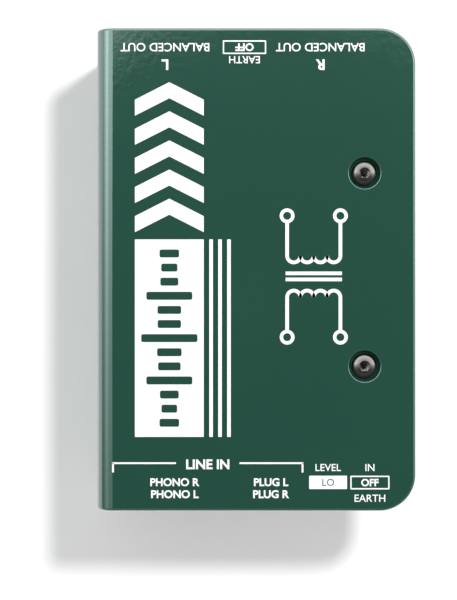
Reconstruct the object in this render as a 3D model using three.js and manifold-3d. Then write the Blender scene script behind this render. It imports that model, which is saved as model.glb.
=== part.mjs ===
// A passive stereo direct injection box, as an assembly of separate parts.
//
// Units are millimetres, +Z up. The origin is the centre of the footprint, on the underside of the
// rubber pad. The input end faces -Y, the output end faces +Y, the shell's folded wall is at -X and its
// open side is at +X. A steel shell, C-shaped in section, wraps a recessed inner chassis.

import * as THREE from "three";
import { mergeVertices } from "three/addons/utils/BufferGeometryUtils.js";
import Module from "manifold-3d";

const wasm = await Module();
wasm.setup();

// ---------------------------------------------------------------- driving dimensions

const LENGTH = 127;
const WIDTH = 84;
const HEIGHT = 48;
const PAD_THICKNESS = 3;
const SHEET = 1.9; // 14 gauge steel
const FOLD_RADIUS = 4.5; // outside of the shell's two folds
const PLATE_CORNER = 9.5; // free corners of the shell's plates
const SHARP = 0.5; // radius of corners that only look square
const GAP = 0.3; // running gap between the shell and the chassis
const SEAT = 0.1; // gap left where one part rests on another
const PAD = { inset: 0.8, foldMargin: 0.2, corner: 2, clearance: 0.6, glue: 0.05 };

const PANEL_RECESS = 13; // from the shell's ends to the end panels
const SIDE_RECESS = 5; // from the shell's open edge to the chassis side wall
const PANEL_Y = LENGTH / 2 - PANEL_RECESS; // outer face of each end panel
const SIDE_X = WIDTH / 2 - SIDE_RECESS; // outer face of the chassis side wall
const CHASSIS_FOLD = 3;

const CHASSIS_LOW = PAD_THICKNESS + SHEET + GAP;
const CHASSIS_HIGH = HEIGHT - SHEET - GAP;
const CHASSIS_LEFT = -WIDTH / 2 + SHEET + GAP;
const PANEL_CORNER = 2.5; // free corners of the end panels
const TAB = { halfLength: 9.5, inner: 19.6, relief: 0.8 };

// The board stands on the web, a plate between the end panels with an upturned tab at each end.
const WEB = { top: 9.1, tabTop: 11.4, bend: 1, x: [-27, 19] };
const BOARD = { top: 13.2, thickness: 1.6, x: [-38.5, 33.8], y: [-46.2, 46.2], corner: 1.5 };
const BOARD_FACE = BOARD.top + SEAT; // where the parts on the board stand
const BOARD_SCREW = { shank: 1.4, head: 2.8, headHeight: 1.7, slot: 1.5 };
const STANDOFF_RADIUS = 3;
const BOARD_SCREWS = { front: [-5, -17], rear: [-5, 22] };
const TRANSFORMERS = { left: [-20, 2], right: [10, 2] };
const CORE = { width: 24, height: 20, stack: 9.5, leg: 8, windowWidth: 4, windowHeight: 12 };
const BOBBIN = { play: 0.2, wall: 0.6, cheek: 0.9, flange: 4, winding: 3.4, windingCorner: 1.5 };

// Case screws: button heads in formed dimples, on two inch centres.
const SCREW_X = 28.6;
const SCREW_SPACING = 50.8;
const DIMPLE = { rim: 4.43, floor: 4.1, depth: SHEET, bump: 5.5 };
const TAB_DIMPLE = { recess: 5.9, boss: 7.5 };
const CASE_SCREW = {
  head: 3.33,
  shoulder: 3.1,
  crown: 1.83,
  height: 1.8,
  skirt: 0.81,
  shank: 1.6,
  length: 6.3,
  hex: 1.98,
  hexDepth: 1.1,
};
const CASE_NUT = { radius: 3.4, bore: 1.95, height: 2.2 };

// Connector places. X is across the box, Z is above the bench.
const XLR_X = { left: -24, right: 17 };
const PANEL_MID_Z = (HEIGHT + PAD_THICKNESS) / 2;
const PHONO = { x: -21.3, pitch: 14, lowZ: 20.5 };
const SWITCH_Z = 17.6;
const SWITCH_X = { pad: 18.9, input_lift: 29.9, output_lift: -3.5 };

// Connector sizes. Depths run back from a panel's outer face, and reaches run out from it.
const BACK = -SHEET - SEAT; // where a body behind a panel starts
const PHONO_BLOCK = { half: 14.2, depth: 12, screwBore: 1.6, screwBoreDepth: 8 };
const PHONO_COLLAR = { radius: 5.1, front: 0.5 };
const PHONO_CORE = { radius: 3.3, length: 7.2, bore: 1.65, boreDepth: 9 };
const PHONO_SLEEVE = { outer: 4.15, inner: 3.6, base: 4.8, baseThickness: 0.7, length: 9 };
const PHONO_SCREW = { head: 2.7, crown: 2, reach: 1.8, shank: 1.3, depth: 7, slot: 1.4 };
const PHONE_JACK = {
  x: 4,
  z: PHONO.lowZ,
  bushing: 4.7,
  reach: 5.2,
  bore: 3.25,
  boreDepth: 20,
  halfWidth: 7.7,
  depth: 24,
  shoulder: 0.6,
};
const PHONE_NUT = { acrossFlats: 12.7, thickness: 2.4 };
const PHONE_WASHER = { radius: 7.2, thickness: 0.6 };
const MINI_JACK = {
  x: PHONE_JACK.x,
  z: PHONO.lowZ + PHONO.pitch,
  bushing: 2.9,
  reach: 3.4,
  bore: 1.8,
  boreDepth: 10,
  halfWidth: 4.5,
  halfHeight: 3.7,
  depth: 12,
};
const MINI_NUT = { radius: 4.4, face: 2.1 };
const MINI_LEAD = { halfWidth: 2.4, halfThickness: 0.5, reach: 16, bend: 4 };
const XLR = {
  halfWidth: 13,
  halfHeight: 15.5,
  corner: 3,
  flange: 2,
  cup: 11.7,
  cavity: 9.6,
  floor: -12.5,
  back: -20,
  footHalfWidth: 9,
  pinRadius: 1.2,
  pinCircle: 4.6,
  pinTip: 0.6,
  pinTaper: 0.8,
};
const XLR_PIN_ANGLES = [0, Math.PI, -Math.PI / 2]; // pins 1, 2 and 3
const XLR_SCREW = { x: 9.5, z: 12, shank: 1.45, head: 2.8, headDepth: 1.5, reach: 3.4, slot: 1.4 };
const XLR_SCREW_SIDES = { upper: 1, lower: -1 };

// A latching push switch: its button travels 2.5 mm in its housing, against a spring.
const BUTTON = { radius: 2.5, hole: 3, cap: 3.6, proud: 3.4 };
const HOUSING = { width: 7.2, front: -2.9, depth: 14, wall: 1.5, cavity: 2.3 };
const STEM = { half: 1.8, length: 9.3 };
const SPRING = { coils: 4, radius: 1.45, wire: 0.2, start: 0.3, end: 0.3 };

const SLOT_WIDTH = 0.6; // of the cross slots in small screws
const OVERLAP = 0.5; // how far two shapes run into each other before they are joined

// Segments round a full circle, by size.
const COARSE = 10;
const MEDIUM = 16;
const FINE = 24;

// ---------------------------------------------------------------- materials

function finish(color, roughness, metalness) {
  return new THREE.MeshStandardMaterial({ color, roughness, metalness });
}

const GREEN_PAINT = finish(0x265a4b, 0.35, 0.1);
const BLACK_PAINT = finish(0x17181a, 0.5, 0.1);
const ZINC_STEEL = finish(0x9ea2a3, 0.4, 0.9);
const BLACK_STEEL = finish(0x3a3a38, 0.35, 0.8);
const NICKEL = finish(0xb9b7b0, 0.25, 1);
const BLACK_PLASTIC = finish(0x1c1c1e, 0.5, 0);
const RED_PLASTIC = finish(0xb3221e, 0.4, 0);
const WHITE_PLASTIC = finish(0xe8e6e0, 0.4, 0);
const RUBBER = finish(0x151515, 0.9, 0);
const BOARD_GREEN = finish(0x1f5a34, 0.5, 0);
const CORE_STEEL = finish(0x6d7072, 0.5, 0.8);
const BOBBIN_PLASTIC = finish(0x2b2b30, 0.5, 0);
const COIL_TAPE = finish(0xd1a93a, 0.45, 0);
const WIRE_GREY = finish(0x77797c, 0.5, 0);

// ---------------------------------------------------------------- solids from three.js geometry

// A closed three.js geometry as a manifold-3d solid.
function solid(geometry) {
  const plain = geometry.index ? geometry.toNonIndexed() : geometry.clone();
  plain.deleteAttribute("normal");
  plain.deleteAttribute("uv");
  const merged = mergeVertices(plain, 1e-4);
  return new wasm.Manifold(
    new wasm.Mesh({
      numProp: 3,
      vertProperties: merged.attributes.position.array,
      triVerts: new Uint32Array(merged.index.array),
    }),
  );
}

function geometryOf(made) {
  const mesh = made.getMesh();
  const geometry = new THREE.BufferGeometry();
  geometry.setAttribute("position", new THREE.BufferAttribute(mesh.vertProperties, 3));
  geometry.setIndex(new THREE.BufferAttribute(mesh.triVerts, 1));
  geometry.computeVertexNormals();
  return geometry;
}

function part(name, made, material) {
  const mesh = new THREE.Mesh(geometryOf(made), material);
  mesh.name = name;
  return mesh;
}

const join = (first, ...rest) => rest.reduce((sum, next) => sum.add(next), first);
const cut = (first, ...rest) => rest.reduce((left, next) => left.subtract(next), first);

function box([x0, x1], [y0, y1], [z0, z1]) {
  const geometry = new THREE.BoxGeometry(x1 - x0, y1 - y0, z1 - z0);
  return solid(geometry.translate((x0 + x1) / 2, (y0 + y1) / 2, (z0 + z1) / 2));
}

// A round bar along Y, from y0 to y1. r1 is its radius at y1.
function rodY([x, z], r, [y0, y1], segments = MEDIUM, r1 = r) {
  const geometry = new THREE.CylinderGeometry(r1, r, y1 - y0, segments);
  return solid(geometry.translate(x, (y0 + y1) / 2, z));
}

// A round bar along Z, from z0 to z1. r1 is its radius at z1.
function rodZ([x, y], r, [z0, z1], segments = MEDIUM, r1 = r) {
  const geometry = new THREE.CylinderGeometry(r1, r, z1 - z0, segments).rotateX(Math.PI / 2);
  return solid(geometry.translate(x, y, (z0 + z1) / 2));
}

function ringY(centre, outer, inner, span, segments = MEDIUM) {
  const [y0, y1] = span;
  return cut(rodY(centre, outer, span, segments), rodY(centre, inner, [y0 - 1, y1 + 1], segments));
}

const around = (middle, half) => [middle - half, middle + half];

// The half sizes of the two crossed slots in a screw head.
function crossHalves(reach) {
  const narrow = SLOT_WIDTH / 2;
  return [
    [reach, narrow],
    [narrow, reach],
  ];
}

// The slots of a screw along Y, and of a screw along Z, over a span of its axis.
function crossSlotsY([x, z], reach, span) {
  return crossHalves(reach).map(([across, up]) => box(around(x, across), span, around(z, up)));
}

function crossSlotsZ([x, y], reach, span) {
  return crossHalves(reach).map(([across, along]) => box(around(x, across), around(y, along), span));
}

// A rectangle from (x0, y0) to (x1, y1), with one radius for its -x corners and one for its +x corners.
function roundedRectangle([x0, x1], [y0, y1], leftRadius, rightRadius = leftRadius) {
  const a = leftRadius;
  const b = rightRadius;
  const quarter = Math.PI / 2;
  const shape = new THREE.Shape();
  shape.moveTo(x0 + a, y0);
  shape.lineTo(x1 - b, y0);
  shape.absarc(x1 - b, y0 + b, b, -quarter, 0);
  shape.lineTo(x1, y1 - b);
  shape.absarc(x1 - b, y1 - b, b, 0, quarter);
  shape.lineTo(x0 + a, y1);
  shape.absarc(x0 + a, y1 - a, a, quarter, 2 * quarter);
  shape.lineTo(x0, y0 + a);
  shape.absarc(x0 + a, y0 + a, a, 2 * quarter, 3 * quarter);
  return shape;
}

// A shape drawn in XY, extruded from z0 to z1.
function slabZ(shape, [z0, z1], curveSegments = 6) {
  const geometry = new THREE.ExtrudeGeometry(shape, { depth: z1 - z0, bevelEnabled: false, curveSegments });
  return solid(geometry.translate(0, 0, z0));
}

// A shape drawn in XZ, extruded from y0 to y1.
function slabY(shape, [y0, y1], curveSegments = 6) {
  const geometry = new THREE.ExtrudeGeometry(shape, { depth: y1 - y0, bevelEnabled: false, curveSegments });
  return solid(geometry.rotateX(Math.PI / 2).translate(0, y1, 0));
}

// A shape drawn in YZ, extruded from x0 to x1.
function slabX(shape, [x0, x1], curveSegments = 6) {
  const geometry = new THREE.ExtrudeGeometry(shape, { depth: x1 - x0, bevelEnabled: false, curveSegments });
  return solid(geometry.rotateX(Math.PI / 2).rotateZ(Math.PI / 2).translate(x0, 0, 0));
}

// The +x half of a rounded rectangle's rim, as a bent strip of the given thickness: two arms and a back.
function bentChannel([x0, x1], [y0, y1], radius, thickness) {
  const inner = radius - thickness;
  const quarter = Math.PI / 2;
  const shape = new THREE.Shape();
  shape.moveTo(x0, y0);
  shape.lineTo(x1 - radius, y0);
  shape.absarc(x1 - radius, y0 + radius, radius, -quarter, 0);
  shape.lineTo(x1, y1 - radius);
  shape.absarc(x1 - radius, y1 - radius, radius, 0, quarter);
  shape.lineTo(x0, y1);
  shape.lineTo(x0, y1 - thickness);
  shape.lineTo(x1 - radius, y1 - thickness);
  shape.absarc(x1 - radius, y1 - radius, inner, quarter, 0, true);
  shape.lineTo(x1 - thickness, y0 + radius);
  shape.absarc(x1 - radius, y0 + radius, inner, 0, -quarter, true);
  shape.lineTo(x0, y0 + thickness);
  return shape;
}

// Where the four case screws are. depth(d) gives the height d below the plate's outer face.
const CASE_SCREWS = [1, -1].flatMap((up) =>
  [1, -1].map((end) => ({
    name: `${up > 0 ? "top" : "bottom"}_${end > 0 ? "output" : "input"}`,
    up,
    centre: [SCREW_X, (end * SCREW_SPACING) / 2],
    depth: (d) => (up > 0 ? HEIGHT - d : PAD_THICKNESS + d),
  })),
);

// A round solid at a case screw, between two depths below the plate's outer face.
function atScrew(screw, outerRadius, [shallow, deep], segments = FINE, innerRadius = outerRadius) {
  const ends = [screw.depth(shallow), screw.depth(deep)];
  if (screw.up > 0) return rodZ(screw.centre, innerRadius, [ends[1], ends[0]], segments, outerRadius);
  return rodZ(screw.centre, outerRadius, ends, segments, innerRadius);
}

function throughHole(screw) {
  return atScrew(screw, CASE_NUT.bore, [0, DIMPLE.depth + 3 * SHEET], MEDIUM);
}

// ---------------------------------------------------------------- shell and pad

// Top plate, folded wall and bottom plate from one sheet, with four formed dimples for the case screws.
function outerShell() {
  const section = bentChannel([-WIDTH / 2, WIDTH / 2], [PAD_THICKNESS, HEIGHT], FOLD_RADIUS, SHEET);
  const folded = slabY(section, [-LENGTH / 2, LENGTH / 2], 7);
  const mirrored = folded.mirror([1, 0, 0]);
  const outline = roundedRectangle([-WIDTH / 2 - 1, WIDTH / 2], around(0, LENGTH / 2), SHARP, PLATE_CORNER);
  let made = mirrored.intersect(slabZ(outline, [0, HEIGHT + 1], 9));
  for (const screw of CASE_SCREWS) {
    made = join(made, atScrew(screw, DIMPLE.bump, [SHEET / 2, DIMPLE.depth + SHEET]));
  }
  for (const screw of CASE_SCREWS) {
    const slope = (DIMPLE.rim - DIMPLE.floor) / DIMPLE.depth;
    const recess = atScrew(screw, DIMPLE.rim + slope, [-1, DIMPLE.depth], FINE, DIMPLE.floor);
    made = cut(made, recess, throughHole(screw));
  }
  return part("outer_shell", made, GREEN_PAINT);
}

// Glued under the flat of the bottom plate, with holes that leave the two screws reachable.
function noSlipPad() {
  const flatStart = -WIDTH / 2 + FOLD_RADIUS + PAD.foldMargin;
  const outline = roundedRectangle(
    [flatStart, WIDTH / 2 - PAD.inset],
    around(0, LENGTH / 2 - PAD.inset),
    PAD.corner,
    PLATE_CORNER - PAD.inset,
  );
  for (const screw of CASE_SCREWS.filter(({ up }) => up < 0)) {
    const hole = new THREE.Path().absarc(...screw.centre, DIMPLE.rim + PAD.clearance, 0, 2 * Math.PI, true);
    outline.holes.push(hole);
  }
  return part("no_slip_pad", slabZ(outline, [0, PAD_THICKNESS - PAD.glue], 8), RUBBER);
}

// ---------------------------------------------------------------- chassis

// The holes in each end panel, as [x, z, radius].
function inputHoles() {
  const holes = [
    [PHONE_JACK.x, PHONE_JACK.z, PHONE_JACK.bushing + GAP],
    [MINI_JACK.x, MINI_JACK.z, MINI_JACK.bushing + GAP],
    [PHONO.x, PHONO.lowZ + PHONO.pitch / 2, PHONO_BLOCK.screwBore],
    [SWITCH_X.pad, SWITCH_Z, BUTTON.hole],
    [SWITCH_X.input_lift, SWITCH_Z, BUTTON.hole],
  ];
  for (const dx of [-0.5, 0.5]) {
    for (const row of [0, 1]) {
      holes.push([PHONO.x + dx * PHONO.pitch, PHONO.lowZ + row * PHONO.pitch, PHONO_COLLAR.radius + GAP]);
    }
  }
  return holes;
}

function outputHoles() {
  const holes = [[SWITCH_X.output_lift, SWITCH_Z, BUTTON.hole]];
  for (const x of Object.values(XLR_X)) {
    holes.push([x, PANEL_MID_Z, XLR.cup + GAP]);
    for (const side of Object.values(XLR_SCREW_SIDES)) {
      holes.push([x + side * XLR_SCREW.x, PANEL_MID_Z + side * XLR_SCREW.z, XLR_SCREW.shank + GAP]);
    }
  }
  return holes;
}

// One of the four folded tabs that take the case screws, with a dimple that nests round the shell's.
function chassisTab(screw) {
  const outer = screw.depth(SHEET + GAP);
  const y = screw.centre[1];
  const tall = 12; // height of the channel that the tab is cut from
  const towardsMiddle = (near, far) =>
    screw.up > 0 ? [outer - far, outer - near] : [outer + near, outer + far];
  const channel = bentChannel([TAB.inner, SIDE_X], towardsMiddle(0, tall), CHASSIS_FOLD, SHEET);
  const whole = slabY(channel, around(y, TAB.halfLength));
  const below = towardsMiddle(CHASSIS_FOLD, tall + 1);
  const rest = box([TAB.inner - 1, SIDE_X + 1], around(y, TAB.halfLength + 1), below);
  const folded = cut(whole, rest);
  const floor = DIMPLE.depth + SHEET + GAP;
  const boss = atScrew(screw, TAB_DIMPLE.boss, [SHEET + 2 * GAP, floor + SHEET]);
  const recess = atScrew(screw, TAB_DIMPLE.recess, [0, floor]);
  return cut(join(folded, boss), recess, throughHole(screw));
}

// Both end panels and the side wall, folded from one sheet.
function chassisFrame() {
  const plan = bentChannel([CHASSIS_LEFT, SIDE_X], [-PANEL_Y, PANEL_Y], CHASSIS_FOLD, SHEET);
  const tall = [CHASSIS_LOW, CHASSIS_HIGH];
  const face = roundedRectangle([CHASSIS_LEFT, SIDE_X + 1], tall, PANEL_CORNER, SHARP);
  let made = slabZ(plan, tall).intersect(slabY(face, around(0, PANEL_Y + 1)));
  for (const screw of CASE_SCREWS) {
    const outer = screw.depth(SHEET + GAP);
    const notch = [outer - CHASSIS_FOLD, outer + CHASSIS_FOLD];
    const slot = around(screw.centre[1], TAB.halfLength + TAB.relief);
    made = cut(made, box([SIDE_X - CHASSIS_FOLD - SHEET, SIDE_X + 1], slot, notch));
  }
  for (const screw of CASE_SCREWS) made = join(made, chassisTab(screw));
  const inner = PANEL_Y - SHEET - 1;
  const outerFace = PANEL_Y + 1;
  for (const [x, z, r] of inputHoles()) {
    made = cut(made, rodY([x, z], r, [-outerFace, -inner], r > 4 ? FINE : MEDIUM));
  }
  for (const [x, z, r] of outputHoles()) {
    made = cut(made, rodY([x, z], r, [inner, outerFace], r > 4 ? FINE : MEDIUM));
  }
  return part("chassis_frame", made, BLACK_PAINT);
}

function boardScrewHoles() {
  const through = [0, BOARD.top + 1];
  return Object.values(BOARD_SCREWS).map((at) => rodZ(at, BOARD_SCREW.shank + GAP, through, COARSE));
}

// The stiffening web of the I-beam.
function chassisWeb() {
  const reach = PANEL_Y - SHEET - SEAT;
  const inner = WEB.bend;
  const quarter = Math.PI / 2;
  const low = WEB.top - SHEET;
  const outer = inner + SHEET;
  const profile = new THREE.Shape();
  profile.moveTo(-reach, WEB.tabTop);
  profile.lineTo(-reach, low + outer);
  profile.absarc(-reach + outer, low + outer, outer, 2 * quarter, 3 * quarter);
  profile.lineTo(reach - outer, low);
  profile.absarc(reach - outer, low + outer, outer, -quarter, 0);
  profile.lineTo(reach, WEB.tabTop);
  profile.lineTo(reach - SHEET, WEB.tabTop);
  profile.lineTo(reach - SHEET, low + outer);
  profile.absarc(reach - outer, low + outer, inner, 0, -quarter, true);
  profile.lineTo(-reach + outer, WEB.top);
  profile.absarc(-reach + outer, low + outer, inner, 3 * quarter, 2 * quarter, true);
  profile.lineTo(-reach + SHEET, WEB.tabTop);
  return part("chassis_web", cut(slabX(profile, WEB.x), ...boardScrewHoles()), ZINC_STEEL);
}

// ---------------------------------------------------------------- case fasteners

function caseScrew(screw) {
  const top = DIMPLE.depth - SEAT - CASE_SCREW.height;
  const under = DIMPLE.depth - SEAT;
  const waist = under - CASE_SCREW.skirt;
  const dome = atScrew(screw, CASE_SCREW.crown, [top, waist], MEDIUM, CASE_SCREW.shoulder);
  const skirt = atScrew(screw, CASE_SCREW.shoulder, [waist - 0.01, under], MEDIUM, CASE_SCREW.head);
  const shank = atScrew(screw, CASE_SCREW.shank, [under - OVERLAP, under + CASE_SCREW.length], COARSE);
  const socketRadius = CASE_SCREW.hex / Math.sqrt(3);
  const socket = atScrew(screw, socketRadius, [top - 1, top + CASE_SCREW.hexDepth], 6);
  return part(`case_screw_${screw.name}`, cut(join(dome, skirt, shank), socket), BLACK_STEEL);
}

function clinchNut(screw) {
  const start = DIMPLE.depth + 2 * SHEET + GAP + SEAT;
  const outer = atScrew(screw, CASE_NUT.radius, [start, start + CASE_NUT.height], MEDIUM);
  const bore = atScrew(screw, CASE_NUT.bore, [start - 1, start + CASE_NUT.height + 1], COARSE);
  return part(`clinch_nut_${screw.name}`, cut(outer, bore), ZINC_STEEL);
}

// ---------------------------------------------------------------- circuit board

function mainBoard() {
  const outline = roundedRectangle(BOARD.x, BOARD.y, BOARD.corner);
  const plate = slabZ(outline, [BOARD.top - BOARD.thickness, BOARD.top], 3);
  return part("main_board", cut(plate, ...boardScrewHoles()), BOARD_GREEN);
}

function boardStandoff(name, at) {
  const span = [WEB.top + SEAT, BOARD.top - BOARD.thickness - SEAT];
  const tube = rodZ(at, STANDOFF_RADIUS, span, MEDIUM);
  return part(`board_standoff_${name}`, cut(tube, ...boardScrewHoles()), NICKEL);
}

function boardScrew(name, at) {
  const top = BOARD_FACE + BOARD_SCREW.headHeight;
  const head = rodZ(at, BOARD_SCREW.head, [BOARD_FACE, top], MEDIUM, 0.8 * BOARD_SCREW.head);
  const shank = rodZ(at, BOARD_SCREW.shank, [WEB.top - SHEET - OVERLAP, BOARD_FACE + OVERLAP], COARSE);
  const slots = crossSlotsZ(at, BOARD_SCREW.slot, [top - BOARD_SCREW.headHeight / 2, top + 1]);
  return part(`board_screw_${name}`, cut(join(head, shank), ...slots), ZINC_STEEL);
}

// An isolation transformer on a shell-type core: laminations, bobbin and taped winding. Its group stands
// on the board with local +Z up, the centre leg upright.
function transformer(side, [x, y]) {
  const group = new THREE.Group();
  group.position.set(x, y, BOARD_FACE);
  const [w, h, s] = [CORE.width / 2, CORE.height, CORE.stack / 2];
  const leg = CORE.leg / 2;
  const windowLow = (CORE.height - CORE.windowHeight) / 2;
  const windowHigh = windowLow + CORE.windowHeight;
  const windowOuter = leg + CORE.windowWidth;
  const windows = [-1, 1].map((d) => {
    const across = d > 0 ? [leg, windowOuter] : [-windowOuter, -leg];
    return box(across, [-s - 1, s + 1], [windowLow, windowHigh]);
  });
  const core = cut(box([-w, w], [-s, s], [0, h]), ...windows);

  const { play, wall, cheek } = BOBBIN;
  const tube = [leg + play + wall, s + play + wall];
  const flange = [windowOuter - play, s + BOBBIN.flange];
  const low = windowLow + play;
  const high = windowHigh - play;
  const block = (half, span) => box(around(0, half[0]), around(0, half[1]), span);
  const bobbin = cut(
    join(block(tube, [low, high]), block(flange, [low, low + cheek]), block(flange, [high - cheek, high])),
    block([leg + play, s + play], [0, h]),
  );

  const wound = [windowOuter - 2.5 * play, s + BOBBIN.winding];
  const coilSpan = [low + cheek + play, high - cheek - play];
  const coilShape = roundedRectangle(around(0, wound[0]), around(0, wound[1]), BOBBIN.windingCorner);
  const coil = cut(slabZ(coilShape, coilSpan, 4), block([tube[0] + play, tube[1] + play], [0, h]));

  group.add(
    part(`transformer_${side}_core`, core, CORE_STEEL),
    part(`transformer_${side}_bobbin`, bobbin, BOBBIN_PLASTIC),
    part(`transformer_${side}_winding`, coil, COIL_TAPE),
  );
  return group;
}

// ---------------------------------------------------------------- push switches
//
// Every connector below is drawn with its origin on the outer face of its end panel, and +Y pointing out
// of the box. A switch is its housing, its button with the stem behind it, and the return spring.

function springGeometry(length) {
  class Helix extends THREE.Curve {
    getPoint(t, target = new THREE.Vector3()) {
      const turn = 2 * Math.PI * SPRING.coils * t;
      return target.set(SPRING.radius * Math.cos(turn), t * length, SPRING.radius * Math.sin(turn));
    }
  }
  const wire = new THREE.Shape().absarc(0, 0, SPRING.wire, 0, 2 * Math.PI);
  const steps = SPRING.coils * 8;
  return new THREE.ExtrudeGeometry(wire, { steps, extrudePath: new Helix(), curveSegments: 3 });
}

function pushSwitch(name) {
  const group = new THREE.Group();
  const half = HOUSING.width / 2;
  const back = HOUSING.front - HOUSING.depth;
  const halfHeight = SWITCH_Z - BOARD_FACE;
  const shell = box(around(0, half), [back, HOUSING.front], around(0, halfHeight));
  const hollow = around(0, HOUSING.cavity);
  const cavity = box(hollow, [back + HOUSING.wall, HOUSING.front + 1], hollow);
  const housing = cut(shell, cavity);

  const capBack = BUTTON.proud - BUTTON.cap;
  const cap = rodY([0, 0], BUTTON.radius, [capBack, BUTTON.proud]);
  const stemEnd = capBack - STEM.length;
  const stem = box(around(0, STEM.half), [stemEnd, capBack + OVERLAP], around(0, STEM.half));

  const springStart = back + HOUSING.wall + SPRING.start;
  const springLength = stemEnd - SPRING.end - springStart;
  const spring = solid(springGeometry(springLength));
  const springMesh = part(`${name}_switch_spring`, spring, NICKEL);
  springMesh.position.y = springStart;

  group.add(
    part(`${name}_switch_housing`, housing, BLACK_PLASTIC),
    part(`${name}_button`, join(cap, stem), BLACK_PLASTIC),
    springMesh,
  );
  return group;
}

// ---------------------------------------------------------------- phono jacks

// One jack of the block: a coloured insulator round the centre contact's bore, and a metal sleeve.
function phonoJack(name, at, insulatorMaterial) {
  const { front } = PHONO_COLLAR;
  const core = join(
    rodY(at, PHONO_COLLAR.radius, [BACK + SEAT, front]),
    rodY(at, PHONO_CORE.radius, [0, front + PHONO_CORE.length]),
  );
  const insulator = cut(core, rodY(at, PHONO_CORE.bore, [BACK - 1, front + PHONO_CORE.length + 1], COARSE));
  const start = front + SEAT;
  const end = start + PHONO_SLEEVE.length;
  const tube = join(
    rodY(at, PHONO_SLEEVE.outer, [start, end]),
    rodY(at, PHONO_SLEEVE.base, [start, start + PHONO_SLEEVE.baseThickness]),
  );
  return [
    part(`phono_${name}_insulator`, insulator, insulatorMaterial),
    part(`phono_${name}_sleeve`, cut(tube, rodY(at, PHONO_SLEEVE.inner, [0, end + 1])), NICKEL),
  ];
}

// Four jacks in one moulded block: right channel above, left channel below, an input and a thru of each.
function phonoJacks() {
  const group = new THREE.Group();
  const midZ = PHONO.lowZ + PHONO.pitch / 2;
  const { half, depth, screwBore, screwBoreDepth } = PHONO_BLOCK;
  let block = box(around(0, half), [BACK - depth, BACK], [BOARD_FACE, midZ + half]);
  block = cut(block, rodY([0, midZ], screwBore, [BACK - screwBoreDepth, BACK + 1], COARSE));
  for (const column of [-1, 1]) {
    for (const row of [0, 1]) {
      const at = [(column * PHONO.pitch) / 2, PHONO.lowZ + row * PHONO.pitch];
      const name = `${column > 0 ? "input" : "thru"}_${row ? "right" : "left"}`;
      block = cut(block, rodY(at, PHONO_CORE.bore, [BACK - PHONO_CORE.boreDepth, BACK + 1], COARSE));
      group.add(...phonoJack(name, at, row ? RED_PLASTIC : WHITE_PLASTIC));
    }
  }
  const at = [0, midZ];
  const { head, crown, reach, shank } = PHONO_SCREW;
  const screw = join(
    rodY(at, head, [SEAT, reach], MEDIUM, crown),
    rodY(at, shank, [BACK - PHONO_SCREW.depth, SEAT + OVERLAP], COARSE),
  );
  group.add(
    part("phono_jack_block", block, BLACK_PLASTIC),
    part("phono_block_screw", cut(screw, ...crossSlotsY(at, PHONO_SCREW.slot, [1, reach + 1])), ZINC_STEEL),
  );
  return group;
}

// ---------------------------------------------------------------- quarter inch and 3.5 mm jacks

function phoneJack() {
  const group = new THREE.Group();
  const { bushing, reach, bore, boreDepth, halfWidth, depth, shoulder } = PHONE_JACK;
  const halfHeight = PHONE_JACK.z - BOARD_FACE;
  const centre = [0, 0];
  const body = cut(
    join(
      box(around(0, halfWidth), [BACK - depth, BACK], [-halfHeight, halfHeight + shoulder]),
      rodY(centre, bushing, [BACK - 1, reach]),
    ),
    rodY(centre, bore, [BACK - boreDepth, reach + 1]),
  );
  const clear = bushing + GAP;
  const washerEnd = SEAT + PHONE_WASHER.thickness;
  const nutStart = washerEnd + SEAT;
  const nutSpan = [nutStart, nutStart + PHONE_NUT.thickness];
  const hexagon = rodY(centre, PHONE_NUT.acrossFlats / Math.sqrt(3), nutSpan, 6);
  group.add(
    part("phone_jack_body", body, BLACK_PLASTIC),
    part("phone_jack_washer", ringY(centre, PHONE_WASHER.radius, clear, [SEAT, washerEnd], FINE), NICKEL),
    part("phone_jack_nut", cut(hexagon, rodY(centre, clear, [0, reach + 1], MEDIUM)), NICKEL),
  );
  return group;
}

// The flat lead runs back from the small jack, then bends down to the board.
function miniJackLead(start) {
  const boardZ = BOARD_FACE - MINI_JACK.z;
  const end = start - MINI_LEAD.reach;
  const straightEnd = new THREE.Vector3(0, end + MINI_LEAD.bend, 0);
  const dropStart = new THREE.Vector3(0, end, -MINI_LEAD.bend);
  const path = new THREE.CurvePath();
  path.add(new THREE.LineCurve3(new THREE.Vector3(0, start, 0), straightEnd));
  path.add(new THREE.QuadraticBezierCurve3(straightEnd, new THREE.Vector3(0, end, 0), dropStart));
  path.add(new THREE.LineCurve3(dropStart, new THREE.Vector3(0, end, boardZ)));
  const { halfThickness, halfWidth } = MINI_LEAD;
  const section = roundedRectangle(around(0, halfThickness), around(0, halfWidth), 0.3);
  return solid(new THREE.ExtrudeGeometry(section, { steps: 10, extrudePath: path, curveSegments: 1 }));
}

// The small jack is held by its ring nut and joined to the board by a flat lead.
function miniJack() {
  const group = new THREE.Group();
  const { bushing, reach, bore, boreDepth, halfWidth, halfHeight, depth } = MINI_JACK;
  const centre = [0, 0];
  const body = cut(
    join(
      box(around(0, halfWidth), [BACK - depth, BACK], around(0, halfHeight)),
      rodY(centre, bushing, [BACK - 1, reach]),
    ),
    rodY(centre, bore, [BACK - boreDepth, reach + 1]),
  );
  const nut = ringY(centre, MINI_NUT.radius, bushing + GAP, [SEAT, MINI_NUT.face]);
  group.add(
    part("mini_jack_body", body, BLACK_PLASTIC),
    part("mini_jack_nut", nut, NICKEL),
    part("mini_jack_lead", miniJackLead(BACK - depth - SEAT), WIRE_GREY),
  );
  return group;
}

// ---------------------------------------------------------------- XLR outputs

const XLR_FACE = SEAT + XLR.flange;

const xlrPinPlace = (angle) => [XLR.pinCircle * Math.cos(angle), XLR.pinCircle * Math.sin(angle)];
const xlrScrewPlace = (side) => [side * XLR_SCREW.x, side * XLR_SCREW.z];

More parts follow.
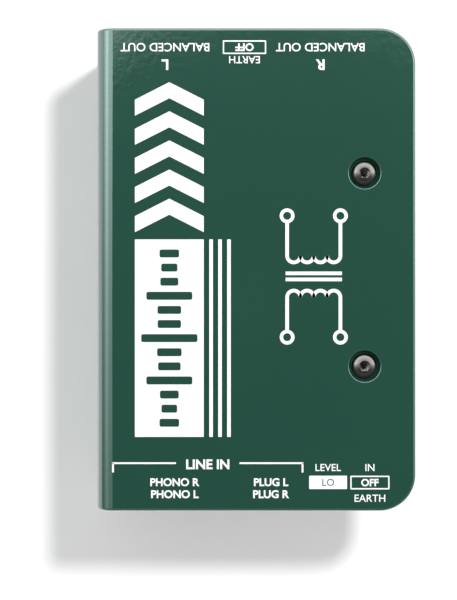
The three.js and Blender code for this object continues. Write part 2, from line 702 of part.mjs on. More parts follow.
// A square flange and a round cup, with a foot that stands on the board.
function xlrHousing(side) {
  const outline = roundedRectangle(around(0, XLR.halfWidth), around(0, XLR.halfHeight), XLR.corner);
  const centre = [0, 0];
  const footLow = BOARD_FACE - PANEL_MID_Z;
  let housing = join(
    slabY(outline, [SEAT, XLR_FACE], 4),
    rodY(centre, XLR.cup, [XLR.back, SEAT + OVERLAP], FINE),
    box(around(0, XLR.footHalfWidth), [XLR.back, XLR.floor + 4.5], [footLow, footLow / 2]),
  );
  housing = cut(housing, rodY(centre, XLR.cavity, [XLR.floor, XLR_FACE + 1], FINE));
  for (const at of XLR_PIN_ANGLES.map(xlrPinPlace)) {
    housing = cut(housing, rodY(at, XLR.pinRadius + GAP, [XLR.back - 1, XLR.floor + 1], COARSE));
  }
  const sinkDepth = XLR_SCREW.headDepth + GAP;
  for (const at of Object.values(XLR_SCREW_SIDES).map(xlrScrewPlace)) {
    const mouth = XLR_SCREW.head + 2 * GAP;
    const sink = rodY(at, XLR_SCREW.shank, [XLR_FACE - sinkDepth, XLR_FACE + GAP], MEDIUM, mouth);
    housing = cut(housing, rodY(at, XLR_SCREW.shank + GAP, [-1, XLR_FACE + 1], MEDIUM), sink);
  }
  return part(`xlr_${side}_housing`, housing, BLACK_PLASTIC);
}

function xlrPin(side, number) {
  const at = xlrPinPlace(XLR_PIN_ANGLES[number - 1]);
  const taper = XLR.pinTip - XLR.pinTaper;
  const straight = rodY(at, XLR.pinRadius, [XLR.back - 2, taper], COARSE);
  const tip = rodY(at, XLR.pinRadius, [taper - 0.01, XLR.pinTip], COARSE, 0.5 * XLR.pinRadius);
  return part(`xlr_${side}_pin_${number}`, join(straight, tip), NICKEL);
}

function xlrScrew(side, place) {
  const at = xlrScrewPlace(XLR_SCREW_SIDES[place]);
  const top = XLR_FACE - SEAT / 2;
  const under = top - XLR_SCREW.headDepth;
  const head = rodY(at, XLR_SCREW.shank - SEAT, [under, top], MEDIUM, XLR_SCREW.head);
  const shank = rodY(at, XLR_SCREW.shank, [-XLR_SCREW.reach, under + SEAT], COARSE);
  const slots = crossSlotsY(at, XLR_SCREW.slot, [top - XLR_SCREW.headDepth / 2, top + 1]);
  return part(`xlr_${side}_screw_${place}`, cut(join(head, shank), ...slots), BLACK_STEEL);
}

function xlrOutput(side) {
  const group = new THREE.Group();
  group.add(xlrHousing(side), ...[1, 2, 3].map((number) => xlrPin(side, number)));
  group.add(...Object.keys(XLR_SCREW_SIDES).map((place) => xlrScrew(side, place)));
  return group;
}

// ---------------------------------------------------------------- assembly

// Puts a connector on an end panel. The panel group's local X runs the other way at the input end.
function onPanel(panel, connector, x, z) {
  const acrossSign = panel.rotation.z === 0 ? 1 : -1;
  connector.position.set(acrossSign * x, 0, z);
  panel.add(connector);
}

const inputEnd = new THREE.Group();
inputEnd.position.y = -PANEL_Y;
inputEnd.rotation.z = Math.PI;
onPanel(inputEnd, phonoJacks(), PHONO.x, 0);
onPanel(inputEnd, phoneJack(), PHONE_JACK.x, PHONE_JACK.z);
onPanel(inputEnd, miniJack(), MINI_JACK.x, MINI_JACK.z);
onPanel(inputEnd, pushSwitch("pad"), SWITCH_X.pad, SWITCH_Z);
onPanel(inputEnd, pushSwitch("input_lift"), SWITCH_X.input_lift, SWITCH_Z);

const outputEnd = new THREE.Group();
outputEnd.position.y = PANEL_Y;
onPanel(outputEnd, xlrOutput("left"), XLR_X.left, PANEL_MID_Z);
onPanel(outputEnd, xlrOutput("right"), XLR_X.right, PANEL_MID_Z);
onPanel(outputEnd, pushSwitch("output_lift"), SWITCH_X.output_lift, SWITCH_Z);

const casing = new THREE.Group();
casing.add(outerShell(), noSlipPad(), chassisFrame(), chassisWeb());
for (const screw of CASE_SCREWS) casing.add(caseScrew(screw), clinchNut(screw));

const board = new THREE.Group();
board.add(mainBoard());
for (const [side, at] of Object.entries(TRANSFORMERS)) board.add(transformer(side, at));
for (const [name, at] of Object.entries(BOARD_SCREWS)) {
  board.add(boardStandoff(name, at), boardScrew(name, at));
}

const directBox = new THREE.Group();
directBox.add(casing, board, inputEnd, outputEnd);

export default directBox;
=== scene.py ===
import math

import bmesh
import bpy
from mathutils import Matrix, Vector
from mathutils.geometry import delaunay_2d_cdt


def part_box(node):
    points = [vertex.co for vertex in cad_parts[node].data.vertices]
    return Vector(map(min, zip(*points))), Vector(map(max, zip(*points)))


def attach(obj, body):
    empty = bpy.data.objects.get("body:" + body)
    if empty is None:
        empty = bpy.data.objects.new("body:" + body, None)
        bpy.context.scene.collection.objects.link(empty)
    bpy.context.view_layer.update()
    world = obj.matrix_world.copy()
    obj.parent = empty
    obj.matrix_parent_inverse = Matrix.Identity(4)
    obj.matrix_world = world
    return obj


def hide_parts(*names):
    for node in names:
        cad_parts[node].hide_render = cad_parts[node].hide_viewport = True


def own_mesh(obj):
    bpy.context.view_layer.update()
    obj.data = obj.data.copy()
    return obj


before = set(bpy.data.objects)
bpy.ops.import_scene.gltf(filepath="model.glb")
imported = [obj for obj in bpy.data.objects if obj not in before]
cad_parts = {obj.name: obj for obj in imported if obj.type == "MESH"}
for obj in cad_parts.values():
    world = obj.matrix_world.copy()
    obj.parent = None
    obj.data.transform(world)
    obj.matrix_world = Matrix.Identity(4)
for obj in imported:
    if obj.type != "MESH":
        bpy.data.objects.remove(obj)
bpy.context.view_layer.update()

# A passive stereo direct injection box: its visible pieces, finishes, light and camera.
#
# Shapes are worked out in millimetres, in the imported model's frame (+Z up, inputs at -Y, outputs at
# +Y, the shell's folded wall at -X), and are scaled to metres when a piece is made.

MM = 0.001
QUARTER = math.pi / 2  # a quarter turn

SHEET = 1.9  # the steel's thickness
SEAT = 0.1  # gap left where one part rests on another
FOLD_RADIUS = 4.5  # outside
CORNER_RADIUS = 9.5
PAINT_EDGE = 0.7  # how far paint rounds off the shell's cut edges
INK = 0.03  # how far print stands above the paint
SUNK = 0.02  # and how far it reaches into it


# --- places, from the frame

def box_mm(name):
    low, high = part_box(name)
    return low / MM, high / MM


def centre_mm(name):
    low, high = box_mm(name)
    return (low + high) / 2


SHELL_LOW, SHELL_HIGH = box_mm("outer_shell")
CHASSIS_LOW, CHASSIS_HIGH = box_mm("chassis_frame")
PANEL_Y = CHASSIS_HIGH.y
TOP = SHELL_HIGH.z
SIDES = ("left", "right")
SWITCHES = {"pad": -1, "input_lift": -1, "output_lift": 1}  # and which end each is on
PHONO_JACKS = ("input_left", "input_right", "thru_left", "thru_right")
XLR_SCREWS = ("upper", "lower")
CASE_SCREWS = [f"case_screw_{side}_{end}" for side in ("top", "bottom") for end in ("output", "input")]


# --- paths and outlines

def corner(before, here, after, radius, steps):
    """(point, right-hand normal) pairs round one corner of a path."""
    into = (here - before).normalized()
    out = (after - here).normalized()
    turn = math.atan2(into.x * out.y - into.y * out.x, into.dot(out))
    normal = Vector((into.y, -into.x))
    if radius == 0 or abs(turn) < 1e-6:
        return [(here, normal)]
    side = math.copysign(1, turn)
    start = here - into * radius * math.tan(abs(turn) / 2)
    centre = start - normal * radius * side
    found = []
    for k in range(steps + 1):
        turned = Matrix.Rotation(turn * k / steps, 2) @ normal
        found.append((centre + turned * radius * side, turned))
    return found


def outline(corners, steps=6):
    """A closed anticlockwise path through (x, y, radius) corners, as (point, outward normal) pairs."""
    places = [Vector(c[:2]) for c in corners]
    following = places[1:] + places[:1]
    found = []
    for i, (_, _, radius) in enumerate(corners):
        found += corner(places[i - 1], places[i], following[i], radius, steps)
    return found


def rectangle(x0, x1, y0, y1, radius, right_radius=None, steps=6):
    right = radius if right_radius is None else right_radius
    return outline([(x0, y0, radius), (x1, y0, right), (x1, y1, right), (x0, y1, radius)], steps)


def profile(corners, steps=4):
    """An open path through (radius, height, fillet) corners, with the material on its left."""
    places = [Vector(c[:2]) for c in corners]
    first = (places[1] - places[0]).normalized()
    last = (places[-1] - places[-2]).normalized()
    found = [(places[0], Vector((first.y, -first.x)))]
    for i in range(1, len(places) - 1):
        found += corner(places[i - 1], places[i], places[i + 1], corners[i][2], steps)
    return found + [(places[-1], Vector((last.y, -last.x)))]


def encloses(shape, point):
    """Is a 2D point inside a polygon?"""
    inside = False
    for a, b in zip(shape, shape[1:] + shape[:1]):
        if (a.y > point.y) != (b.y > point.y):
            if point.x < a.x + (b.x - a.x) * (point.y - a.y) / (b.y - a.y):
                inside = not inside
    return inside


# --- closed surfaces

class Skin:
    """A closed surface being built. A normal of zero length leaves the shading to Blender."""

    def __init__(self):
        self.points = []
        self.normals = []
        self.faces = []
        self.wound = False  # do the faces already face outwards?

    def loop(self, points, normals):
        first = len(self.points)
        self.points += [Vector(p) for p in points]
        self.normals += [Vector(n) for n in normals]
        return list(range(first, len(self.points)))

    def bridge(self, loops):
        """Joins each loop to the next."""
        for one, two in zip(loops, loops[1:]):
            for i in range(len(one)):
                self.faces.append((one[i - 1], one[i], two[i], two[i - 1]))

    def enclose(self, loops):
        """Joins each loop to the next, and puts a disc on both ends."""
        self.bridge(loops)
        self.faces += [tuple(loops[0]), tuple(loops[-1])]

    def fill(self, outer, holes):
        """Triangles for the flat area between an outer loop and the loops of its holes."""
        loops = [outer, *holes]
        used = [index for loop in loops for index in loop]
        local = {index: place for place, index in enumerate(used)}
        edges = [(local[loop[i - 1]], local[loop[i]]) for loop in loops for i in range(len(loop))]
        spots = [self.points[index].xy for index in used]
        made = delaunay_2d_cdt(spots, edges, [], 1, 1e-6)
        corners, triangles, origins = made[0], made[2], made[3]
        shapes = [[self.points[index].xy for index in loop] for loop in holes]
        for triangle in triangles:
            middle = sum((corners[i] for i in triangle), Vector((0, 0))) / 3
            if not any(encloses(shape, middle) for shape in shapes):
                self.faces.append(tuple(used[origins[i][0]] for i in triangle))

    def placed(self, matrix):
        turn = matrix.to_3x3()
        self.points = [matrix @ p for p in self.points]
        self.normals = [turn @ n for n in self.normals]
        return self


def all_round(count):
    """Angles evenly round a circle."""
    return [2 * math.pi * k / count for k in range(count)]


def no_bump(angle):
    return 0


def turning_rings(skin, centre, path, count, bump=no_bump):
    """Loops of a turned surface about a vertical axis through centre."""
    rings = []
    angles = all_round(count)
    shaded = 1 if bump is no_bump else 0
    for (radius, height), (out, up) in path:
        points = []
        for a in angles:
            reach = radius + bump(a)
            points.append((centre[0] + reach * math.cos(a), centre[1] + reach * math.sin(a), height))
        normals = [Vector((out * math.cos(a), out * math.sin(a), up)) * shaded for a in angles]
        rings.append(skin.loop(points, normals))
    skin.bridge(rings)
    return rings


def plate(outer, low, high, edge, turnings=(), cutouts=(), rim_steps=3):
    """A flat plate with rounded edges.

    turnings are (centre, path, count, from_top, to_bottom[, bump]): holes, dimples and bosses. A path
    that doesn't start on the top face or end on the bottom one is closed with a disc. cutouts are
    outlines.
    """
    skin = Skin()
    tops = []
    bottoms = []
    quarter = range(rim_steps + 1)
    stations = [(high, 1, k) for k in quarter] + [(low, -1, k) for k in reversed(quarter)]
    for border, side in [(outer, 1)] + [(cutout, -1) for cutout in cutouts]:
        rings = []
        for face, up, k in stations:
            angle = QUARTER * k / rim_steps
            inset = side * edge * (1 - math.sin(angle))
            height = face - up * edge * (1 - math.cos(angle))
            out = side * math.sin(angle)
            rise = up * math.cos(angle)
            points = [(p.x - n.x * inset, p.y - n.y * inset, height) for p, n in border]
            rings.append(skin.loop(points, [(n.x * out, n.y * out, rise) for _, n in border]))
        skin.bridge(rings)
        tops.append(rings[0])
        bottoms.append(rings[-1])
    for centre, path, count, from_top, to_bottom, *bump in turnings:
        rings = turning_rings(skin, centre, path, count, *bump)
        for loops, wanted, ring in ((tops, from_top, rings[0]), (bottoms, to_bottom, rings[-1])):
            if wanted:
                loops.append(ring)
            else:
                skin.faces.append(tuple(ring))
    skin.fill(tops[0], tops[1:])
    skin.fill(bottoms[0], bottoms[1:])
    return skin


def lathe(corners, count=64, steps=4, closed=False):
    """A turned solid about Z through (radius, height, fillet) corners, from disc to disc.

    A closed one is a ring, whose last corner is its first again.
    """
    skin = Skin()
    path = profile(corners, steps)
    if closed:
        rings = turning_rings(skin, (0, 0), path[:-1], count)
        skin.bridge([rings[-1], rings[0]])
    else:
        rings = turning_rings(skin, (0, 0), path, count)
        skin.faces += [tuple(rings[0]), tuple(rings[-1])]
    return skin


def loft(rings, count=72, closed=False):
    """A solid through (radius, height) rings along Z, where a radius may be a function of the angle.

    A closed one is a ring, such as a nut: its last ring is joined back to its first.
    """
    skin = Skin()
    loops = []
    for radius, height in rings:
        points = []
        for angle in all_round(count):
            reach = radius(angle) if callable(radius) else radius
            points.append((reach * math.cos(angle), reach * math.sin(angle), height))
        loops.append(skin.loop(points, [(0, 0, 0)] * count))
    if closed:
        skin.bridge([*loops, loops[0]])
    else:
        skin.enclose(loops)
    return skin


def polygon_radius(apothem, sides, limit=1e9):
    """The radius of a regular polygon at an angle, cut off at a limiting radius."""
    sector = math.pi / sides

    def radius(angle):
        return min(limit, apothem / math.cos((angle + sector) % (2 * sector) - sector))

    return radius


def cross_radius(reach, half_width):
    """The radius of a cross with square ends, at an angle."""

    def radius(angle):
        across = abs(math.cos(angle)) + 1e-9
        up = abs(math.sin(angle)) + 1e-9
        return max(min(reach / across, half_width / up), min(half_width / across, reach / up))

    return radius


class Fold:
    """A sheet's outer face, seen from its end, as a path of straights and bends."""

    BEND_STEPS = 14

    def __init__(self, corners):
        places = [Vector(c[:2]) for c in corners]
        self.spans = []
        self.creases = []
        self.length = 0
        start = places[0]
        for here, after, (_, _, radius) in zip(places[1:-1], places[2:], corners[1:-1]):
            arc = corner(start, here, after, radius, self.BEND_STEPS)
            entry, normal = arc[0]
            self.add("straight", start, (entry - start).normalized(), (entry - start).length)
            bend_length = QUARTER * (radius - SHEET / 2)
            steps = range(self.BEND_STEPS + 1)
            self.creases += [self.length + bend_length * k / self.BEND_STEPS for k in steps]
            self.add("bend", entry - normal * radius, normal * radius, bend_length)
            start = arc[-1][0]
        self.add("straight", start, (places[-1] - start).normalized(), (places[-1] - start).length)

    def add(self, kind, origin, vector, length):
        self.spans.append((self.length, length, kind, origin, vector))
        self.length += length

    def at(self, u):
        """The outer face's point, direction and outward normal at a distance along the flat sheet."""
        found = [span for span in self.spans if u >= span[0] - 1e-6]
        begin, length, kind, origin, vector = found[-1] if found else self.spans[0]
        if kind == "straight":
            return origin + vector * (u - begin), vector, Vector((vector.y, -vector.x))
        out = Matrix.Rotation(QUARTER * (u - begin) / length, 2) @ vector
        return origin + out, Vector((-out.y, out.x)).normalized(), out.normalized()

    def move(self, point, normal, to_space):
        """Where a point and normal of the flat sheet come to lie: (along, across, above the face)."""
        face, along, out = self.at(point.x)
        spot = face + out * point.z
        turned = along * normal.x + out * normal.z
        return to_space(spot, point.y), to_space(turned, normal.y)

    def applied(self, pattern, to_space):
        """The flat pattern, bent along its length."""
        return folded(pattern, self.creases, Vector((1, 0, 0)), lambda p, n: self.move(p, n, to_space))


def pour(made, layer, skin, size=1):
    """Adds a skin's points, normals and faces to a bmesh, and returns the faces."""
    corners = [made.verts.new(point * size) for point in skin.points]
    for vert, normal in zip(corners, skin.normals):
        vert[layer] = normal
    return [made.faces.new([corners[i] for i in face]) for face in skin.faces]


def faces_of(made):
    return [tuple(vert.index for vert in face.verts) for face in made.faces]


def folded(skin, creases, across, move):
    """Cuts a flat pattern at its creases, then moves every point and normal."""
    made = bmesh.new()
    layer = made.verts.layers.float_vector.new("flat_normal")
    pour(made, layer, skin)
    for place in creases:
        everything = made.verts[:] + made.edges[:] + made.faces[:]
        at = across * place
        bmesh.ops.bisect_plane(made, geom=everything, dist=1e-5, plane_co=at, plane_no=across)
    moved = Skin()
    made.verts.index_update()
    for vert in made.verts:
        point, normal = move(vert.co, Vector(vert[layer]))
        moved.points.append(point)
        moved.normals.append(normal)
    moved.faces = faces_of(made)
    made.free()
    return moved


# --- pieces

def piece(name, skins, material, stands_for=None, body="case"):
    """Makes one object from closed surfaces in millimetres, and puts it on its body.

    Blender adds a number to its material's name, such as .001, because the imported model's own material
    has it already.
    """
    made = bmesh.new()
    layer = made.verts.layers.float_vector.new("shading")
    unwound = []
    for skin in skins:
        faces = pour(made, layer, skin, MM)
        if not skin.wound:
            unwound += faces
    bmesh.ops.recalc_face_normals(made, faces=unwound)
    shading = [Vector(vert[layer]) for vert in made.verts]
    made.verts.layers.float_vector.remove(layer)
    mesh = bpy.data.meshes.new(name)
    made.to_mesh(mesh)
    made.free()
    mesh.shade_smooth()
    mesh.set_sharp_from_angle(angle=math.radians(32))
    if any(normal.length > 0 for normal in shading):
        mesh.normals_split_custom_set_from_vertices([n.normalized() for n in shading])
    mesh.materials.append(material)
    made_object = bpy.data.objects.new(name, mesh)
    bpy.context.scene.collection.objects.link(made_object)
    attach(made_object, body)
    if stands_for:
        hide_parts(stands_for)
    return made_object


def facing(direction, at):
    """The place of something drawn with +Z pointing out of the box and +Y up the page."""
    out = Vector(direction)
    up = Vector((0, 0, 1)) if abs(out.z) < 0.5 else Vector((0, 1, 0))
    across = up.cross(out)
    turn = Matrix((across, up, out)).transposed().to_4x4()
    return Matrix.Translation(at) @ turn


def on_panel(sign, name):
    """The place of a node on the outer face of an end panel: sign -1 is the input end."""
    at = centre_mm(name)
    return facing((0, sign, 0), (at.x, sign * PANEL_Y, at.z))


# --- finishes

def node(tree, kind, values=None, **settings):
    made = tree.nodes.new("ShaderNode" + kind)
    for name, value in settings.items():
        setattr(made, name, value)
    for name, value in (values or {}).items():
        if isinstance(value, bpy.types.NodeSocket):
            tree.links.new(value, made.inputs[name])
        else:
            made.inputs[name].default_value = value
    return made


def maths(tree, operation, *values):
    return node(tree, "Math", dict(enumerate(values)), operation=operation).outputs[0]


class Finish:
    """A procedural material: helpers that wire noise, wear and bump into one Principled shader."""

    def __init__(self, name, **values):
        self.material = bpy.data.materials.new(name)
        self.material.use_nodes = True
        self.tree = self.material.node_tree
        self.shader = self.tree.nodes["Principled BSDF"]
        self.place = node(self.tree, "TexCoord").outputs["Object"]
        for key, value in values.items():
            self.shader.inputs[key.replace("_", " ")].default_value = value

    def node(self, kind, values=None, **settings):
        return node(self.tree, kind, values, **settings)

    def noise(self, scale, detail=3):
        values = {"Vector": self.place, "Scale": scale, "Detail": detail, "Roughness": 0.6}
        return self.node("TexNoise", values).outputs[0]

    def spread(self, value, low, high, start=0.3, end=0.7):
        """Brings a value between start and end to between low and high."""
        values = {"Value": value, "From Min": start, "From Max": end, "To Min": low, "To Max": high}
        return self.node("MapRange", values).outputs["Result"]

    def patches(self, scale, low=0, high=1, start=0.3, end=0.7, detail=3):
        return self.spread(self.noise(scale, detail), low, high, start, end)

    def mix(self, factor, one, two):
        return self.node("Mix", {0: factor, 6: one, 7: two}, data_type="RGBA").outputs[2]

    def colour(self, factor, one, two):
        self.set("Base Color", self.mix(factor, one, two))

    def roughness(self, scale, low, high, detail=3):
        self.set("Roughness", self.patches(scale, low, high, detail=detail))

    def edges(self, radius):
        """1 within about a radius of an edge, 0 on the flat."""
        soft = self.node("Bevel", {"Radius": radius * MM}, samples=4).outputs["Normal"]
        true = self.node("NewGeometry").outputs["Normal"]
        agreement = self.node("VectorMath", {0: soft, 1: true}, operation="DOT_PRODUCT").outputs["Value"]
        return self.spread(agreement, 1, 0, 0.80, 0.99)

    def set(self, key, socket):
        self.tree.links.new(socket, self.shader.inputs[key])

    def set_surface(self, socket):
        self.tree.links.new(socket, self.tree.nodes["Material Output"].inputs["Surface"])

    def bump(self, depth, coarse, fine, share):
        """Bump of a depth in millimetres: a coarse texture, and a share of a finer one."""
        total = maths(self.tree, "MULTIPLY_ADD", fine, share, coarse)
        made = self.node("Bump", {"Height": total, "Distance": depth * MM})
        self.set("Normal", made.outputs["Normal"])


def shade(colour, share):
    return (*(channel * share for channel in colour), 1)


def painted(name, colour, worn, roughness, peel, index, sheen=(1, 1, 1)):
    """Baked paint: faint orange peel, uneven gloss, and edges rubbed towards a lighter tone."""
    made = Finish(name, IOR=index, Specular_Tint=shade(sheen, 1))
    body = made.mix(made.patches(45), shade(colour, 0.985), shade(colour, 1.015))
    rubbed = maths(made.tree, "MULTIPLY", made.edges(0.3), made.patches(420, 0, 0.5, 0.45, 0.7))
    made.colour(rubbed, body, shade(worn, 1))
    made.roughness(160, roughness * 0.88, roughness * 1.15)
    made.bump(peel, made.noise(650, 1), made.noise(4000, 2), 0.12)
    return made.material


def moulded(name, colour, roughness, grain=0.006):
    """Moulded plastic: fine spark grain, faint flow shading and handled edges."""
    made = Finish(name, Specular_IOR_Level=0.35)
    body = made.mix(made.patches(120), shade(colour, 0.9), shade(colour, 1.12))
    handled = maths(made.tree, "MULTIPLY", made.edges(0.15), 0.25)
    made.colour(handled, body, shade([0.6 * c + 0.02 for c in colour], 1))
    made.roughness(500, roughness * 0.85, roughness * 1.15)
    made.bump(grain, made.noise(5200, 2), made.noise(300, 2), 0.5)
    return made.material


def plated(name, colour, roughness):
    """Plated or bare metal: fine tool marks, slight tarnish and uneven gloss."""
    made = Finish(name, Metallic=1.0)
    made.colour(made.patches(260, detail=4), shade(colour, 1.05), shade(colour, 0.84))
    made.roughness(900, roughness * 0.75, roughness * 1.35)
    made.bump(0.003, made.noise(3800), made.noise(900), 0.1)
    return made.material


def rubbery(name, colour):
    """Closed-cell rubber: open grain, dust in the pores."""
    made = Finish(name, Specular_IOR_Level=0.3)
    dusty = made.patches(70, 0, 0.35, 0.5, 0.75, detail=5)
    made.colour(dusty, shade(colour, 1), shade([c + 0.03 for c in colour], 1))
    made.roughness(900, 0.78, 0.95)
    cells = made.node("TexVoronoi", {"Vector": made.place, "Scale": 1500.0}).outputs["Distance"]
    made.bump(0.05, cells, made.noise(250), 0.8)
    return made.material


def printed(name, colour):
    """Screen-printed ink: nearly even, with a faint mesh texture."""
    made = Finish(name, Specular_IOR_Level=0.4)
    thin = made.patches(900, 0, 0.5, 0.55, 0.8, detail=4)
    made.colour(thin, shade(colour, 1), shade(colour, 0.86))
    made.roughness(700, 0.42, 0.55)
    made.bump(0.004, made.noise(2600, 1), made.noise(700), 0.1)
    return made.material


def banded(name, colour, gap_colour, bands_per_mm, direction, roughness, metallic=0.0):
    """Layers seen on edge, such as steel laminations or turns under tape."""
    made = Finish(name, Metallic=metallic)
    values = {"Vector": made.place, "Scale": bands_per_mm / MM / 20, "Distortion": 0.4, "Detail": 2}
    bands = made.node("TexWave", values, bands_direction=direction).outputs[0]
    made.colour(made.spread(bands, 1, 0, 0, 0.35), shade(colour, 1), shade(gap_colour, 1))
    made.roughness(600, roughness * 0.8, roughness * 1.2)
    made.bump(0.02, bands, made.noise(1500), 0.3)
    return made.material


def laminate(name, mask, track):
    """A circuit board: solder mask over faint copper tracks."""
    made = Finish(name, Roughness=0.35, Coat_Weight=0.3)
    values = {"Vector": made.place, "Scale": 260.0}
    cells = made.node("TexVoronoi", values, feature="DISTANCE_TO_EDGE")
    tracks = made.spread(cells.outputs["Distance"], 1, 0, 0.03, 0.06)
    made.colour(tracks, shade(mask, 1), shade(track, 1))
    made.bump(0.02, tracks, made.noise(2500), 0.3)
    return made.material


GREEN = (0.0150, 0.0595, 0.0420)
BLACK = (0.0085, 0.0088, 0.0092)

SHELL_PAINT = painted("shell_paint", GREEN, (0.05, 0.11, 0.09), 0.075, 0.012, 1.6, (0.80, 1.0, 0.97))
CHASSIS_PAINT = painted("chassis_paint", BLACK, (0.06, 0.06, 0.06), 0.42, 0.03, 1.4)
RUBBER = rubbery("pad_rubber", (0.012, 0.012, 0.012))
WHITE_INK = printed("white_ink", (0.80, 0.81, 0.80))
GREEN_INK = printed("green_ink", GREEN)
BLACK_STEEL = plated("black_steel", (0.064, 0.062, 0.057), 0.18)
ZINC = plated("zinc_steel", (0.50, 0.51, 0.53), 0.34)
NICKEL = plated("nickel", (0.56, 0.54, 0.50), 0.20)
GILT = plated("contact_gilt", (0.62, 0.42, 0.16), 0.25)
BLACK_PLASTIC = moulded("black_plastic", (0.010, 0.010, 0.011), 0.42)
RED_PLASTIC = moulded("red_plastic", (0.28, 0.010, 0.008), 0.30, 0.002)
WHITE_PLASTIC = moulded("white_plastic", (0.50, 0.49, 0.46), 0.30, 0.002)
BOBBIN_PLASTIC = moulded("bobbin_plastic", (0.014, 0.014, 0.017), 0.5)
LEAD_PLASTIC = banded("lead_sleeve", (0.10, 0.10, 0.11), (0.03, 0.03, 0.03), 0.5, "X", 0.5)
CORE = banded("core_steel", (0.16, 0.16, 0.17), (0.03, 0.03, 0.03), 2.0, "Y", 0.45, 0.8)
TAPE = banded("winding_tape", (0.42, 0.24, 0.03), (0.25, 0.13, 0.02), 1.5, "Z", 0.3)
BOARD = laminate("board_laminate", (0.008, 0.065, 0.022), (0.02, 0.13, 0.045))


# --- shell and pad

DIMPLE_RIM = 4.2
DIMPLE_FLOOR = 3.5
SCREW_HOLE = 1.95
PAD_OPENING = 5.0


def dimple(u, v):
    """A formed dimple for a button head: the sheet sinks by its thickness, to a floor with a hole."""
    path = profile([
        (DIMPLE_RIM + 1.2, 0, 0),
        (DIMPLE_RIM, 0, 0.3),
        (DIMPLE_FLOOR, -SHEET, 0.25),
        (SCREW_HOLE, -SHEET, 0.12),
        (SCREW_HOLE, -2 * SHEET, 0.12),
        (DIMPLE_FLOOR + 0.9, -2 * SHEET, 0.6),
        (DIMPLE_RIM + 1.0, -SHEET, 0.25),
        (DIMPLE_RIM + 1.8, -SHEET, 0),
    ])
    return (u, v), path, 64, True, True


def build_shell():
    fold = Fold([
        (SHELL_HIGH.x, SHELL_HIGH.z, 0),
        (SHELL_LOW.x, SHELL_HIGH.z, FOLD_RADIUS),
        (SHELL_LOW.x, SHELL_LOW.z, FOLD_RADIUS),
        (SHELL_HIGH.x, SHELL_LOW.z, 0),
    ])
    flat = rectangle(0, fold.length, SHELL_LOW.y, SHELL_HIGH.y, CORNER_RADIUS, steps=16)
    dimples = []
    for name in CASE_SCREWS:
        at = centre_mm(name)
        u = SHELL_HIGH.x - at.x
        dimples.append(dimple(u if "_top_" in name else fold.length - u, at.y))
    pattern = plate(flat, -SHEET, 0, PAINT_EDGE, dimples, rim_steps=6)

    def to_space(spot, y):
        return Vector((spot.x, y, spot.y))

    piece("shell", [fold.applied(pattern, to_space)], SHELL_PAINT, stands_for="outer_shell")


def build_pad():
    low, high = box_mm("no_slip_pad")
    border = rectangle(low.x, high.x, low.y, high.y, 2, CORNER_RADIUS - 0.8, steps=10)
    holes = []
    for name in CASE_SCREWS[2:]:
        at = centre_mm(name)
        path = profile([
            (PAD_OPENING + 1, high.z, 0),
            (PAD_OPENING, high.z, 0.3),
            (PAD_OPENING, low.z, 0.3),
            (PAD_OPENING + 1, low.z, 0),
        ])
        holes.append(((at.x, at.y), path, 48, True, True))
    pad = plate(border, low.z, high.z, 0.4, holes)
    piece("base_pad", [pad], RUBBER, stands_for="no_slip_pad")


# --- chassis

CHASSIS_BEND = 3
EAR_HALF = 9.5
EAR_INNER = 19.6  # how far from the middle of the box an ear ends
EAR_HOLE = 5.6
RELIEF = 0.8  # the width of the slot beside an ear

# Radii of the holes in the end panels, by what sits in them.
HOLES = {"phone_jack_nut": 5.0, "mini_jack_nut": 3.2, "phono_block_screw": 1.6}
for switch_name in SWITCHES:
    HOLES[f"{switch_name}_button"] = 3.0
for jack_name in PHONO_JACKS:
    HOLES[f"phono_{jack_name}_sleeve"] = 5.4
for side_name in SIDES:
    HOLES[f"xlr_{side_name}_housing"] = 12.0
    for end_name in XLR_SCREWS:
        HOLES[f"xlr_{side_name}_screw_{end_name}"] = 1.75


def punched(u, v, radius):
    path = profile([
        (radius + 0.3, 0, 0),
        (radius, 0, 0.12),
        (radius, -SHEET, 0.12),
        (radius + 0.3, -SHEET, 0),
    ])
    return (u, v), path, 48 if radius > 2 else 24, True, True


def wall_outline(wall, ear, middle, half):
    """The flat chassis wall, with an ear above and below at each case screw, beside relief slots."""
    reach = EAR_HALF + RELIEF
    slot_floor = half - CHASSIS_BEND
    slot = [(reach, half), (reach, slot_floor), (EAR_HALF, slot_floor)]
    centres = [wall.length / 2 + centre_mm(name).y for name in CASE_SCREWS[1::-1]]
    corners = []
    for side, order in ((-1, centres), (1, centres[::-1])):
        corners.append((0 if side < 0 else wall.length, middle + side * half, 2.5))
        for u in order:
            for across, distance in slot:
                corners.append((u + side * across, middle + side * distance, 0.2))
            corners.append((u + side * EAR_HALF, middle + side * ear.length, 2))
            corners.append((u - side * EAR_HALF, middle + side * ear.length, 2))
            for across, distance in reversed(slot):
                corners.append((u - side * across, middle + side * distance, 0.2))
        corners.append((wall.length if side < 0 else 0, middle + side * half, 2.5))
    return centres, outline(corners, 5)


